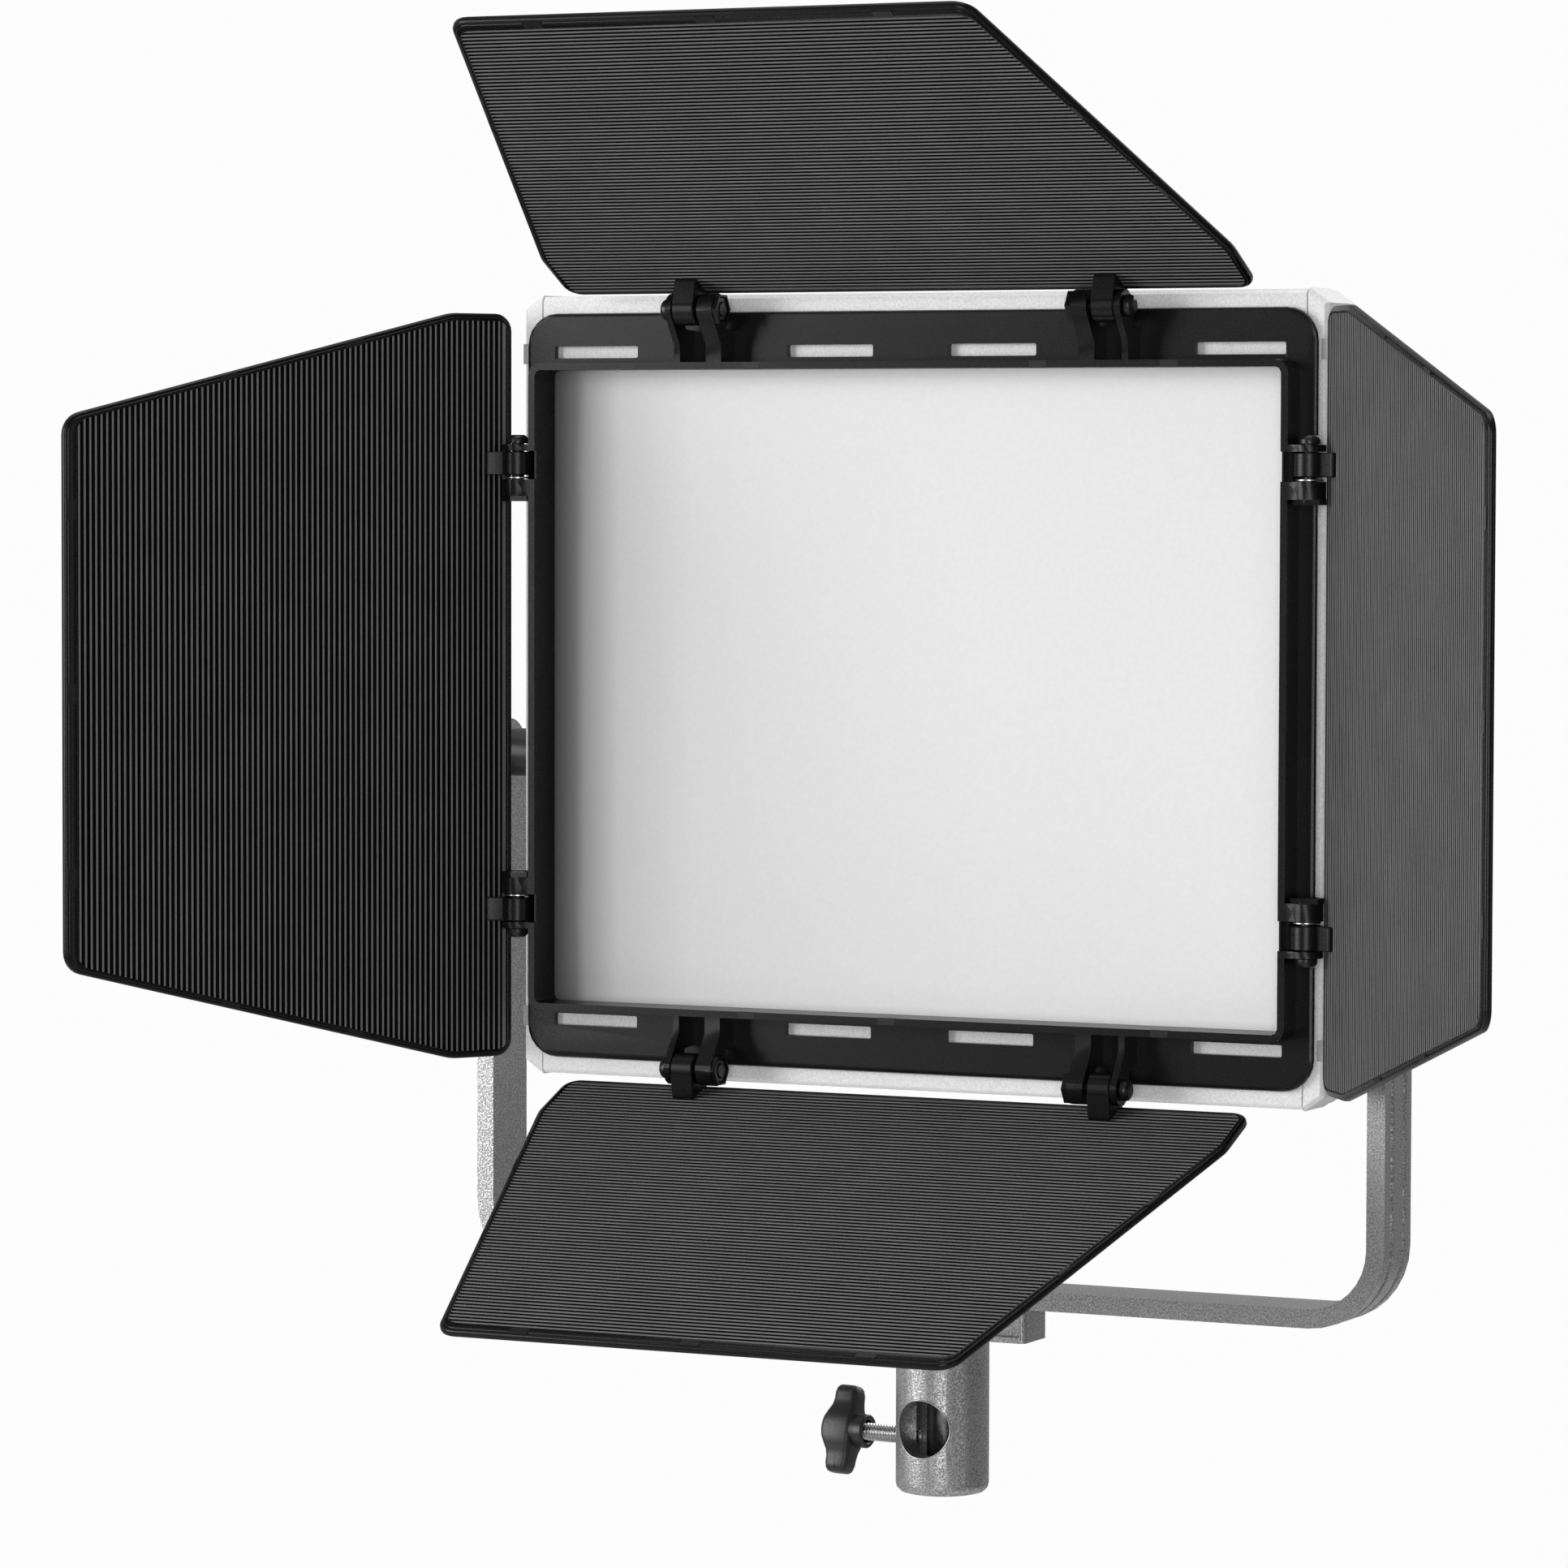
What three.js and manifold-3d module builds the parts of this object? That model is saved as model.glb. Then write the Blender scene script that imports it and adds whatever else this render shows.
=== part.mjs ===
// LED panel light with four ribbed barn-door leaves, on a flat-bar U yoke with a stand socket.
// Millimetres, +Z up, the lit face looks along -Y, origin at the centre of the socket's mouth.
// The pieces are drawn in the panel's frame, whose origin is the centre of the collar's rim;
// one group then moves that frame so that the socket's mouth is the origin.
import * as THREE from "three";
import Module from "manifold-3d";
import { mergeVertices } from "three/addons/utils/BufferGeometryUtils.js";

// Clearance left between pieces that touch in the real object.
const GAP = 0.3;

// Casing: two rails and two end caps in front, a tray behind.
const CASING_HALF_X = 133.3;
const CASING_HALF_Z = 120.7;
const CASING_FRONT_Y = 12;
const CASING_SEAM_Y = 29.8;
const CASING_BACK_Y = 38.2;
const CAP_INNER_X = 126.9;
const CASING_CHAMFER_Z = 4.7;
// The end caps stand this far above and below the rails.
const CAP_PROUD = 0.7;
const CASING_WALL = 2.2;
const BEZEL_THICK = 1.5;
const BEZEL_INNER_Z = 100.5;
const FRONT_EDGE_BEVEL = 1.2;
const REAR_EDGE_BEVEL = 1.4;
const VENT_COLUMNS = [10, 56, 102];
const VENT_ROWS = 7;
const VENT_PITCH = 16;
const VENT_HALF_X = 18;
const VENT_HALF_Z = 1.6;
const PIVOT_BLOCK = { x: [-11, -1], y: [-6.4, 3.5], halfZ: 6 };

// Optical stack and electronics.
const DIFFUSER_HALF_X = 126.3;
const DIFFUSER_HALF_Z = 106;
const DIFFUSER_FRONT_Y = 13.8;
const DIFFUSER_THICK = 2.1;
const BOARD_HALF_X = 120;
const BOARD_HALF_Z = 98;
const LED_BOARD_Y = 19.6;
const LED_BOARD_THICK = 1.6;
const EMITTER_STRIPS = 8;
const EMITTER_HEIGHT = 0.9;
const EMITTER_WIDTH = 4;
const HEAT_SINK_Y = 21.6;
const HEAT_SINK_PLATE = 2;
const HEAT_SINK_FINS = 16;
const FIN_DEPTH = 5.2;
const FIN_THICK = 2;
const DRIVER_BOARD_Y = 30.6;
const DRIVER_BOARD_THICK = 1.6;
const DRIVER_BOARD_X = [-116, 20];
const DRIVER_BOARD_HALF_Z = 74;
// Components on the driver board: X span, Z span and height.
const DRIVER_COMPONENTS = [
  { x: [-40, -10], z: [20, 60], height: 3 },
  { x: [-36, -6], z: [-50, -20], height: 2.6 },
  { x: [-104, -60], z: [-20, 10], height: 2 },
];

// Barn-door frame: flange against the casing, collar standing forward of it.
const COLLAR_HALF_X = 125.5;
const COLLAR_HALF_Z = 100;
const COLLAR_WALL = 2.2;
const COLLAR_BACK_Y = 13.4;
const COLLAR_CORNER = 4;
const COLLAR_INNER_CORNER = 1.8;
const FLANGE_HALF_X = 130.9;
const FLANGE_HALF_Z = 115.4;
const FLANGE_FRONT_Y = 9.5;
const FLANGE_BACK_Y = 11.7;
const FLANGE_CORNER = 10;
const FLANGE_EDGE = 1;
const SLOT_CENTRES_X = [26.9, 106.75];
const SLOT_HALF_LENGTH = 14.4;
const SLOT_CENTRE_Z = 103.4;
const SLOT_HALF_WIDTH = 1.85;
const SLOT_CORNER = 0.5;

// Hinges: positions along each hinge axis, counted from the middle of the leaf.
const THICK_EAR = [59, 64.2];
const TONGUE = [65.5, 72.7];
const THIN_EAR = [73, 75];
const BARREL_RADIUS = 4.9;
const PIN_HOLE_RADIUS = 2.3;
const SCREW_RADIUS = 2;
const SCREW_TIP = 57.6;
const SCREW_HEAD = [75.3, 77.9];
const SCREW_HEAD_RADIUS = 3.2;
const NUT = [57.9, 60.2];
const NUT_APOTHEM = 3.45;
const NUT_POCKET_END = 60.5;
// Six-sided boss round each nut pocket, on the inner end of the thick ear.
const NUT_BOSS = [57.4, 59.2];
const NUT_BOSS_APOTHEM = 4.4;
const TOP_AXIS = { y: -1.7, z: 115.9 };
const SIDE_AXIS = { x: 131, y: 3.7 };
// Notch in the collar for each side tongue; a thin wall is left on the inside.
const NOTCH_DEPTH = 5;
const NOTCH_WALL = 0.6;
const NOTCH_WALL_DEPTH = 1.2;

// Leaves: u runs from the hinge edge outwards.
const LEAF_LENGTH = 154.4;
const LEAF_THICK = 2.6;
const LEAF_PARALLEL = 21.5;
const LEAF_BAND = { side: 2.3, hinge: 2, outer: 4.3 };
const LEDGE_THICK = 0.7;
const LEDGE_WIDTH = 2.5;
const HINGE_CORNER = 5.5;
const OUTER_CORNER = 7;
const RIBS = 80;
const RIB_PITCH = 1.878;
const FIRST_RIB = 3.9;
const RIB_RECESS = 0.3;
const RIB_DEPTH = 0.7;
const PANEL_BACK = 1.6;
const PAD_LENGTH = 10;
const PAD_THICK = 1.9;
const TOP_LEAF = { half: 113.75, outer: 81.3, offset: 7, behind: 3.55, tongueFront: [-4.76, -1.15] };
const SIDE_LEAF = { half: 115.4, outer: 82.7, offset: 5.2, behind: 1.3, tongueFront: [-4.3, 2] };
const OPENING = { top: 28.7, bottom: 22.4, left: 31.3, right: 37.3 };

// Yoke, tilt pivot and stand socket.
const YOKE_FRONT_Y = 15.1;
const YOKE_WIDTH = 22.1;
const YOKE_THICK = 5.7;
const YOKE_OUTER_X = 151.6;
const YOKE_BOTTOM_Z = -185.7;
const YOKE_ARM_TOP_Z = -10.9;
const YOKE_BEND = 24;
const YOKE_GROOVE = 0.8;
const YOKE_LANDS = [
  [0, 4.6],
  [7.7, 14.9],
  [17.9, 22.1],
];
const PIVOT = { y: 26, z: -21.5 };
const STUD_RADIUS = 3;
const STUD_HOLE_RADIUS = 3.3;
const TILT_BOSS_RADIUS = 7.5;
const TILT_KNOB_RADIUS = 15;
const TILT_KNOB_THICK = 13;
const SOCKET_Y = 35.7;
const SOCKET_MOUTH_Z = -246.3;
const SOCKET_TOP_Z = -196.1;
const SOCKET_RADIUS = 14.4;
const SOCKET_BORE = 8.1;
const SOCKET_DEPTH = 40;
const SOCKET_FILLET = 3;
const WINDOW_RADIUS = 9;
const WINDOW_Z = -225.5;
const LOCK_Z = -230;
const LOCK_RADIUS = 2.75;
const LOCK_TIP_X = -8.4;
const LOCK_END_X = -31;
const HANDLE_HUB_X = [-39.5, -25.6];
const HANDLE_HUB_RADIUS = 5.3;
const HANDLE_HALF_Y = 3.7;
const HANDLE_TURN = -17;
// The socket is bolted on turned a little about its own axis, and the lock screw with it.
const SOCKET_TURN = -4.5;
const BLOCK_HALF_X = 37.3;
const BLOCK_FRONT_Y = 13;
const BLOCK_BACK_Y = 30;
const BLOCK_BOTTOM_Z = -195.8;
const BLOCK_CORNER = 1.6;
const BLOCK_NECK = { halfX: 28, socketHalfX: 15.5, reach: 4 };
const BLOCK_POCKET = { x: [23.5, 35.6], depth: 2.2, margin: 1.8 };
const SOCKET_BOLT = { y: 28.5, radius: 4, hole: 4.3, headRadius: 6.5, headHeight: 5, into: 7 };

// Controls on the back.
const PANEL_CENTRE_X = -82;
const PANEL_HALF_X = 34;
const PANEL_HALF_Z = 78;
const PANEL_BACK_Y = 41.5;
const DISPLAY_Z = 50;
const DISPLAY_HALF = { x: 24, z: 14 };
const KNOB_Z = 8;
const DIMMER_X = -97;
const COLOUR_X = -67;
const CONTROL_SHAFT_RADIUS = 2.5;
const BUTTON_Z = -22;
const BUTTON_HALF = 5;
const SWITCH_Z = -50;
const SWITCH_X = -95;
const SWITCH_HALF = { x: 6, z: 8.5 };
const SWITCH_TILT = 8;
const INLET_X = -66;
const INLET_RADIUS = 5.5;
const INLET_WALL = 2.3;
const DISPLAY_RECESS = 1.3;
const DIMMER_KNOB = { radius: 10, length: 12 };
const COLOUR_KNOB = { radius: 8.5, length: 10 };

const wasm = await Module();
wasm.setup();

const WHITE_PAINT = { color: 0xf2f2f0, roughness: 0.45, metalness: 0 };
const BLACK_NYLON = { color: 0x1c1c1d, roughness: 0.55, metalness: 0 };
const BLACK_GLOSS = { color: 0x101012, roughness: 0.2, metalness: 0 };
const SILVER_PAINT = { color: 0xa9abac, roughness: 0.45, metalness: 0.6 };
const STEEL = { color: 0xb9bbbd, roughness: 0.3, metalness: 1 };
const BLACK_STEEL = { color: 0x222224, roughness: 0.4, metalness: 0.8 };
const ALUMINIUM = { color: 0xc4c6c8, roughness: 0.4, metalness: 0.9 };
const DIFFUSER = { color: 0xf7f7f5, roughness: 0.6, metalness: 0 };
const BOARD_GREEN = { color: 0x1d4a2c, roughness: 0.5, metalness: 0 };

// A three.js geometry as a manifold-3d solid.
function solid(geometry) {
  const bare = geometry.clone();
  bare.deleteAttribute("normal");
  bare.deleteAttribute("uv");
  const merged = mergeVertices(bare, 1e-4);
  return new wasm.Manifold(
    new wasm.Mesh({
      numProp: 3,
      vertProperties: merged.attributes.position.array,
      triVerts: new Uint32Array(merged.index.array),
    }),
  );
}

// A manifold-3d solid as a three.js geometry.
function geometryOf(made) {
  const { vertProperties, triVerts } = made.getMesh();
  const geometry = new THREE.BufferGeometry();
  geometry.setAttribute("position", new THREE.BufferAttribute(new Float32Array(vertProperties), 3));
  geometry.setIndex(new THREE.BufferAttribute(new Uint32Array(triVerts), 1));
  geometry.computeVertexNormals();
  return geometry;
}

function joined(solids) {
  return solids.reduce((whole, next) => whole.add(next));
}

function cut(base, tools) {
  return tools.reduce((whole, tool) => whole.subtract(tool), base);
}

function shapeOf(points) {
  return new THREE.Shape(points.map(([a, b]) => new THREE.Vector2(a, b)));
}

const X = new THREE.Vector3(1, 0, 0);
const Y = new THREE.Vector3(0, 1, 0);
const Z = new THREE.Vector3(0, 0, 1);

function prism(shape, depth, curveSegments) {
  return new THREE.ExtrudeGeometry(shape, { depth, bevelEnabled: false, curveSegments });
}

// A flat shape given in (Y, Z), as a prism from x0 to x1.
function alongX(shape, x0, x1, curveSegments = 4) {
  const geometry = prism(shape, x1 - x0, curveSegments);
  geometry.applyMatrix4(new THREE.Matrix4().makeBasis(Y, Z, X));
  return solid(geometry.translate(x0, 0, 0));
}

// A flat shape given in (X, Z), as a prism from y0 to y1.
function alongY(shape, y0, y1, curveSegments = 4) {
  const geometry = prism(shape, y1 - y0, curveSegments);
  geometry.applyMatrix4(new THREE.Matrix4().makeBasis(X, Z, Y.clone().negate()));
  return solid(geometry.translate(0, y1, 0));
}

// A flat shape given in (X, Y), as a prism from z0 to z1.
function alongZ(shape, z0, z1, curveSegments = 4) {
  const geometry = prism(shape, z1 - z0, curveSegments);
  return solid(geometry.translate(0, 0, z0));
}

// The same as alongY, with both flat faces' edges bevelled outwards from the given shape.
function bevelledAlongY(shape, bevel, y0, y1, curveSegments = 4, bevelSegments = 1) {
  const geometry = new THREE.ExtrudeGeometry(shape, {
    depth: y1 - y0 - 2 * bevel,
    bevelThickness: bevel,
    bevelSize: bevel,
    bevelSegments,
    curveSegments,
  });
  geometry.applyMatrix4(new THREE.Matrix4().makeBasis(X, Z, Y.clone().negate()));
  return solid(geometry.translate(0, y1 - bevel, 0));
}

function box(x0, x1, y0, y1, z0, z1) {
  const geometry = new THREE.BoxGeometry(x1 - x0, y1 - y0, z1 - z0);
  return solid(geometry.translate((x0 + x1) / 2, (y0 + y1) / 2, (z0 + z1) / 2));
}

function circle(a, b, radius) {
  const shape = new THREE.Shape();
  shape.absarc(a, b, radius, 0, 2 * Math.PI, false);
  return shape;
}

function roundedRectangle(a, b, halfA, halfB, radius) {
  const shape = new THREE.Shape();
  shape.absarc(a + halfA - radius, b + halfB - radius, radius, 0, Math.PI / 2, false);
  shape.absarc(a - halfA + radius, b + halfB - radius, radius, Math.PI / 2, Math.PI, false);
  shape.absarc(a - halfA + radius, b - halfB + radius, radius, Math.PI, 1.5 * Math.PI, false);
  shape.absarc(a + halfA - radius, b - halfB + radius, radius, 1.5 * Math.PI, 2 * Math.PI, false);
  return shape;
}

// A polygon with each corner rounded to its own radius.
function roundedPolygon(points, radii, steps = 4) {
  const out = [];
  points.forEach((point, i) => {
    const corner = new THREE.Vector2(...point);
    const previous = points[(i + points.length - 1) % points.length];
    const next = points[(i + 1) % points.length];
    const before = new THREE.Vector2(...previous).sub(corner).normalize();
    const after = new THREE.Vector2(...next).sub(corner).normalize();
    if (!radii[i]) {
      out.push(point);
      return;
    }
    const half = Math.acos(before.dot(after)) / 2;
    const reach = radii[i] / Math.tan(half);
    const inward = before.clone().add(after).normalize();
    const centre = inward.multiplyScalar(radii[i] / Math.sin(half)).add(corner);
    const start = before.clone().multiplyScalar(reach).add(corner).sub(centre);
    const end = after.clone().multiplyScalar(reach).add(corner).sub(centre);
    const turn = Math.atan2(start.cross(end), start.dot(end));
    for (let k = 0; k <= steps; k++) {
      const at = start.clone().rotateAround(new THREE.Vector2(), (turn * k) / steps).add(centre);
      out.push([at.x, at.y]);
    }
  });
  return shapeOf(out);
}

// A turned piece about the Y axis; the profile is a list of (radius, y).
function turnedY(profile, segments) {
  return new THREE.LatheGeometry(profile.map(([r, y]) => new THREE.Vector2(r, y)), segments);
}

function mesh(name, geometry, look) {
  const made = new THREE.Mesh(geometry, new THREE.MeshStandardMaterial(look));
  made.name = name;
  return made;
}

function solidMesh(name, made, look) {
  return mesh(name, geometryOf(made), look);
}

// ---- Casing ----

// The casing's outline in (X, Z) with its corner chamfers; inset moves every edge inwards.
function casingOutline(inset, halfZ = CASING_HALF_Z) {
  const x = CASING_HALF_X - inset;
  const z = halfZ - inset;
  const chamferX = CASING_HALF_X - CAP_INNER_X - inset / 2;
  const chamferZ = CASING_CHAMFER_Z - inset / 2;
  return shapeOf([
    [-x, -z + chamferZ],
    [-x + chamferX, -z],
    [x - chamferX, -z],
    [x, -z + chamferZ],
    [x, z - chamferZ],
    [x - chamferX, z],
    [-x + chamferX, z],
    [-x, z - chamferZ],
  ]);
}

// The whole front casing before it is hollowed and divided, with its front edge bevelled.
function casingBlank(halfZ = CASING_HALF_Z) {
  const outline = casingOutline(FRONT_EDGE_BEVEL, halfZ);
  return bevelledAlongY(outline, FRONT_EDGE_BEVEL, CASING_FRONT_Y, CASING_BACK_Y);
}

function railSolid() {
  const outerInside = CASING_HALF_Z - CASING_WALL;
  const bezelBack = CASING_FRONT_Y + BEZEL_THICK;
  const ledgeFront = DIFFUSER_FRONT_Y + DIFFUSER_THICK + GAP;
  const ledgeBack = ledgeFront + BEZEL_THICK;
  const ledgeInner = DIFFUSER_HALF_Z - 3;
  const profile = [
    [CASING_FRONT_Y, BEZEL_INNER_Z],
    [CASING_FRONT_Y, CASING_HALF_Z],
    [CASING_SEAM_Y - GAP, CASING_HALF_Z],
    [CASING_SEAM_Y - GAP, outerInside],
    [ledgeBack, outerInside],
    [ledgeBack, ledgeInner],
    [ledgeFront, ledgeInner],
    [ledgeFront, outerInside],
    [bezelBack, outerInside],
    [bezelBack, BEZEL_INNER_Z],
  ];
  const rail = alongX(shapeOf(profile), -CAP_INNER_X + GAP, CAP_INNER_X - GAP);
  return rail.intersect(casingBlank());
}

function capSolid(side) {
  const blockX = PIVOT_BLOCK.x.map((x) => x + CASING_HALF_X);
  const outside = box(...span(side, [CAP_INNER_X, 150]), 0, CASING_SEAM_Y - GAP, -150, 150);
  const insideX = span(side, [CAP_INNER_X - 1, CASING_HALF_X - CASING_WALL]);
  const insideZ = CASING_HALF_Z - CASING_CHAMFER_Z - CASING_WALL / 2;
  const inside = box(...insideX, CASING_FRONT_Y + BEZEL_THICK, CASING_SEAM_Y + 1, -insideZ, insideZ);
  const shell = cut(casingBlank(CASING_HALF_Z + CAP_PROUD).intersect(outside), [inside]);
  const block = box(
    ...span(side, blockX),
    PIVOT.y + PIVOT_BLOCK.y[0],
    PIVOT.y + PIVOT_BLOCK.y[1],
    PIVOT.z - PIVOT_BLOCK.halfZ,
    PIVOT.z + PIVOT_BLOCK.halfZ,
  );
  const hole = alongX(circle(PIVOT.y, PIVOT.z, STUD_HOLE_RADIUS), -200, 200, 6);
  return cut(shell.add(block), [hole]);
}

function rearCoverSolid() {
  const bevelledFrom = CASING_SEAM_Y - 2 * REAR_EDGE_BEVEL;
  const outline = casingOutline(REAR_EDGE_BEVEL);
  const bevelled = bevelledAlongY(outline, REAR_EDGE_BEVEL, bevelledFrom, CASING_BACK_Y);
  const inside = alongY(casingOutline(CASING_WALL), CASING_SEAM_Y - 3, CASING_BACK_Y - CASING_WALL + 0.4);
  const front = box(-150, 150, CASING_SEAM_Y - 5, CASING_SEAM_Y, -150, 150);
  const vents = [];
  for (const x of VENT_COLUMNS) {
    for (let row = 0; row < VENT_ROWS; row++) {
      const z = (row - (VENT_ROWS - 1) / 2) * VENT_PITCH;
      const across = [x - VENT_HALF_X, x + VENT_HALF_X];
      vents.push(box(...across, CASING_SEAM_Y, CASING_BACK_Y + 1, z - VENT_HALF_Z, z + VENT_HALF_Z));
    }
  }
  return cut(bevelled, [front, inside, ...vents]);
}

// ---- Light engine ----

function ledBoardSolid() {
  const back = LED_BOARD_Y + LED_BOARD_THICK;
  const plate = box(-BOARD_HALF_X, BOARD_HALF_X, LED_BOARD_Y, back, -BOARD_HALF_Z, BOARD_HALF_Z);
  const strips = [];
  const pitch = (2 * BOARD_HALF_Z) / EMITTER_STRIPS;
  for (let i = 0; i < EMITTER_STRIPS; i++) {
    const z = -BOARD_HALF_Z + (i + 0.5) * pitch;
    strips.push(
      box(
        6 - BOARD_HALF_X,
        BOARD_HALF_X - 6,
        LED_BOARD_Y - EMITTER_HEIGHT,
        LED_BOARD_Y + 0.5,
        z - EMITTER_WIDTH / 2,
        z + EMITTER_WIDTH / 2,
      ),
    );
  }
  return joined([plate, ...strips]);
}

function heatSinkSolid() {
  const plateBack = HEAT_SINK_Y + HEAT_SINK_PLATE;
  const profile = [
    [BOARD_HALF_X - 1, HEAT_SINK_Y],
    [1 - BOARD_HALF_X, HEAT_SINK_Y],
  ];
  const pitch = (2 * (BOARD_HALF_X - 1) - FIN_THICK) / (HEAT_SINK_FINS - 1);
  for (let i = 0; i < HEAT_SINK_FINS; i++) {
    const left = 1 - BOARD_HALF_X + i * pitch;
    if (i > 0) profile.push([left, plateBack]);
    profile.push([left, plateBack + FIN_DEPTH], [left + FIN_THICK, plateBack + FIN_DEPTH]);
    if (i < HEAT_SINK_FINS - 1) profile.push([left + FIN_THICK, plateBack]);
  }
  return alongZ(shapeOf(profile), 2 - BOARD_HALF_Z, BOARD_HALF_Z - 2);
}

function driverBoardSolid() {
  const back = DRIVER_BOARD_Y + DRIVER_BOARD_THICK;
  const components = DRIVER_COMPONENTS.map(({ x, z, height }) => box(...x, back - 0.5, back + height, ...z));
  return joined([
    box(...DRIVER_BOARD_X, DRIVER_BOARD_Y, back, -DRIVER_BOARD_HALF_Z, DRIVER_BOARD_HALF_Z),
    ...components,
  ]);
}

// ---- Controls ----

function controlPanelSolid() {
  const front = CASING_BACK_Y + GAP;
  const through = [front - 1, PANEL_BACK_Y + 1];
  const outline = roundedRectangle(PANEL_CENTRE_X, 0, PANEL_HALF_X, PANEL_HALF_Z, 5);
  const display = roundedRectangle(PANEL_CENTRE_X, DISPLAY_Z, DISPLAY_HALF.x + GAP, DISPLAY_HALF.z + GAP, 2);
  const button = roundedRectangle(PANEL_CENTRE_X, BUTTON_Z, BUTTON_HALF + GAP, BUTTON_HALF + GAP, 1.5);
  const shaftHole = CONTROL_SHAFT_RADIUS + GAP;
  const switchX = [SWITCH_X - SWITCH_HALF.x - GAP, SWITCH_X + SWITCH_HALF.x + GAP];
  const switchZ = [SWITCH_Z - SWITCH_HALF.z - 1, SWITCH_Z + SWITCH_HALF.z + 1];
  return cut(alongY(outline, front, PANEL_BACK_Y, 2), [
    alongY(display, PANEL_BACK_Y - DISPLAY_RECESS, PANEL_BACK_Y + 1, 1),
    alongY(circle(DIMMER_X, KNOB_Z, shaftHole), ...through, 6),
    alongY(circle(COLOUR_X, KNOB_Z, shaftHole), ...through, 6),
    alongY(button, ...through, 1),
    box(...switchX, ...through, ...switchZ),
    alongY(circle(INLET_X, SWITCH_Z, INLET_RADIUS + GAP), ...through, 6),
  ]);
}

// A fluted knob about the Y axis, with its shaft reaching into the panel.
function controlKnobSolid({ radius, length }) {
  const flutes = 12;
  const outline = [];
  for (let i = 0; i < 2 * flutes; i++) {
    const angle = (Math.PI * i) / flutes;
    const r = i % 2 ? radius : radius - 0.8;
    outline.push([r * Math.cos(angle), r * Math.sin(angle)]);
  }
  const end = PANEL_BACK_Y + length;
  const grip = alongY(shapeOf(outline), PANEL_BACK_Y + GAP, end);
  const cap = alongY(circle(0, 0, radius - 1.6), end - 1, end + 0.8, 6);
  const shaft = alongY(circle(0, 0, CONTROL_SHAFT_RADIUS), CASING_BACK_Y + 1, PANEL_BACK_Y + 2, 6);
  return joined([grip, cap, shaft]);
}

function rockerSolid() {
  const profile = [
    [-0.6, -SWITCH_HALF.z],
    [1.9, -SWITCH_HALF.z],
    [1.1, 0],
    [1.9, SWITCH_HALF.z],
    [-0.6, SWITCH_HALF.z],
  ];
  return alongX(shapeOf(profile), -SWITCH_HALF.x, SWITCH_HALF.x);
}

// ---- Barn-door frame ----

function topEarShape(up) {
  const profile = [
    [FLANGE_FRONT_Y + 0.5, COLLAR_HALF_Z - 0.5],
    [0, COLLAR_HALF_Z - 0.5],
    [0, 105.1],
    [-6.35, 114.3],
    [-6.55, 115.5],
    [TOP_AXIS.y, TOP_AXIS.z + 2],
    [3.1, 115.3],
    [3.9, 110.2],
    [FLANGE_FRONT_Y + 0.5, 109.6],
  ];
  return shapeOf(profile.map(([y, z]) => [y, up * z]));
}

function sideEarShape(side) {
  const back = SIDE_AXIS.y + BARREL_RADIUS;
  const profile = [
    [COLLAR_HALF_X - 0.4, 0],
    [SIDE_AXIS.x, 0],
    [SIDE_AXIS.x, back],
    [FLANGE_HALF_X - 1.5, back],
    [FLANGE_HALF_X - 1.5, FLANGE_FRONT_Y + 0.5],
    [COLLAR_HALF_X - 0.4, FLANGE_FRONT_Y + 0.5],
  ];
  return shapeOf(profile.map(([x, y]) => [side * x, y]));
}

// A hexagon with a corner on its second axis, or on its first when turned.
function hexagon(a, b, apothem, turned = false) {
  const corners = [];
  const radius = apothem / Math.cos(Math.PI / 6);
  for (let i = 0; i < 6; i++) {
    const angle = (Math.PI * (2 * i + (turned ? 0 : 1))) / 6;
    corners.push([a + radius * Math.cos(angle), b + radius * Math.sin(angle)]);
  }
  return shapeOf(corners);
}

// The span [from, to] on the positive side of an axis, or its mirror image.
function span(sign, [from, to]) {
  return sign > 0 ? [from, to] : [-to, -from];
}

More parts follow.
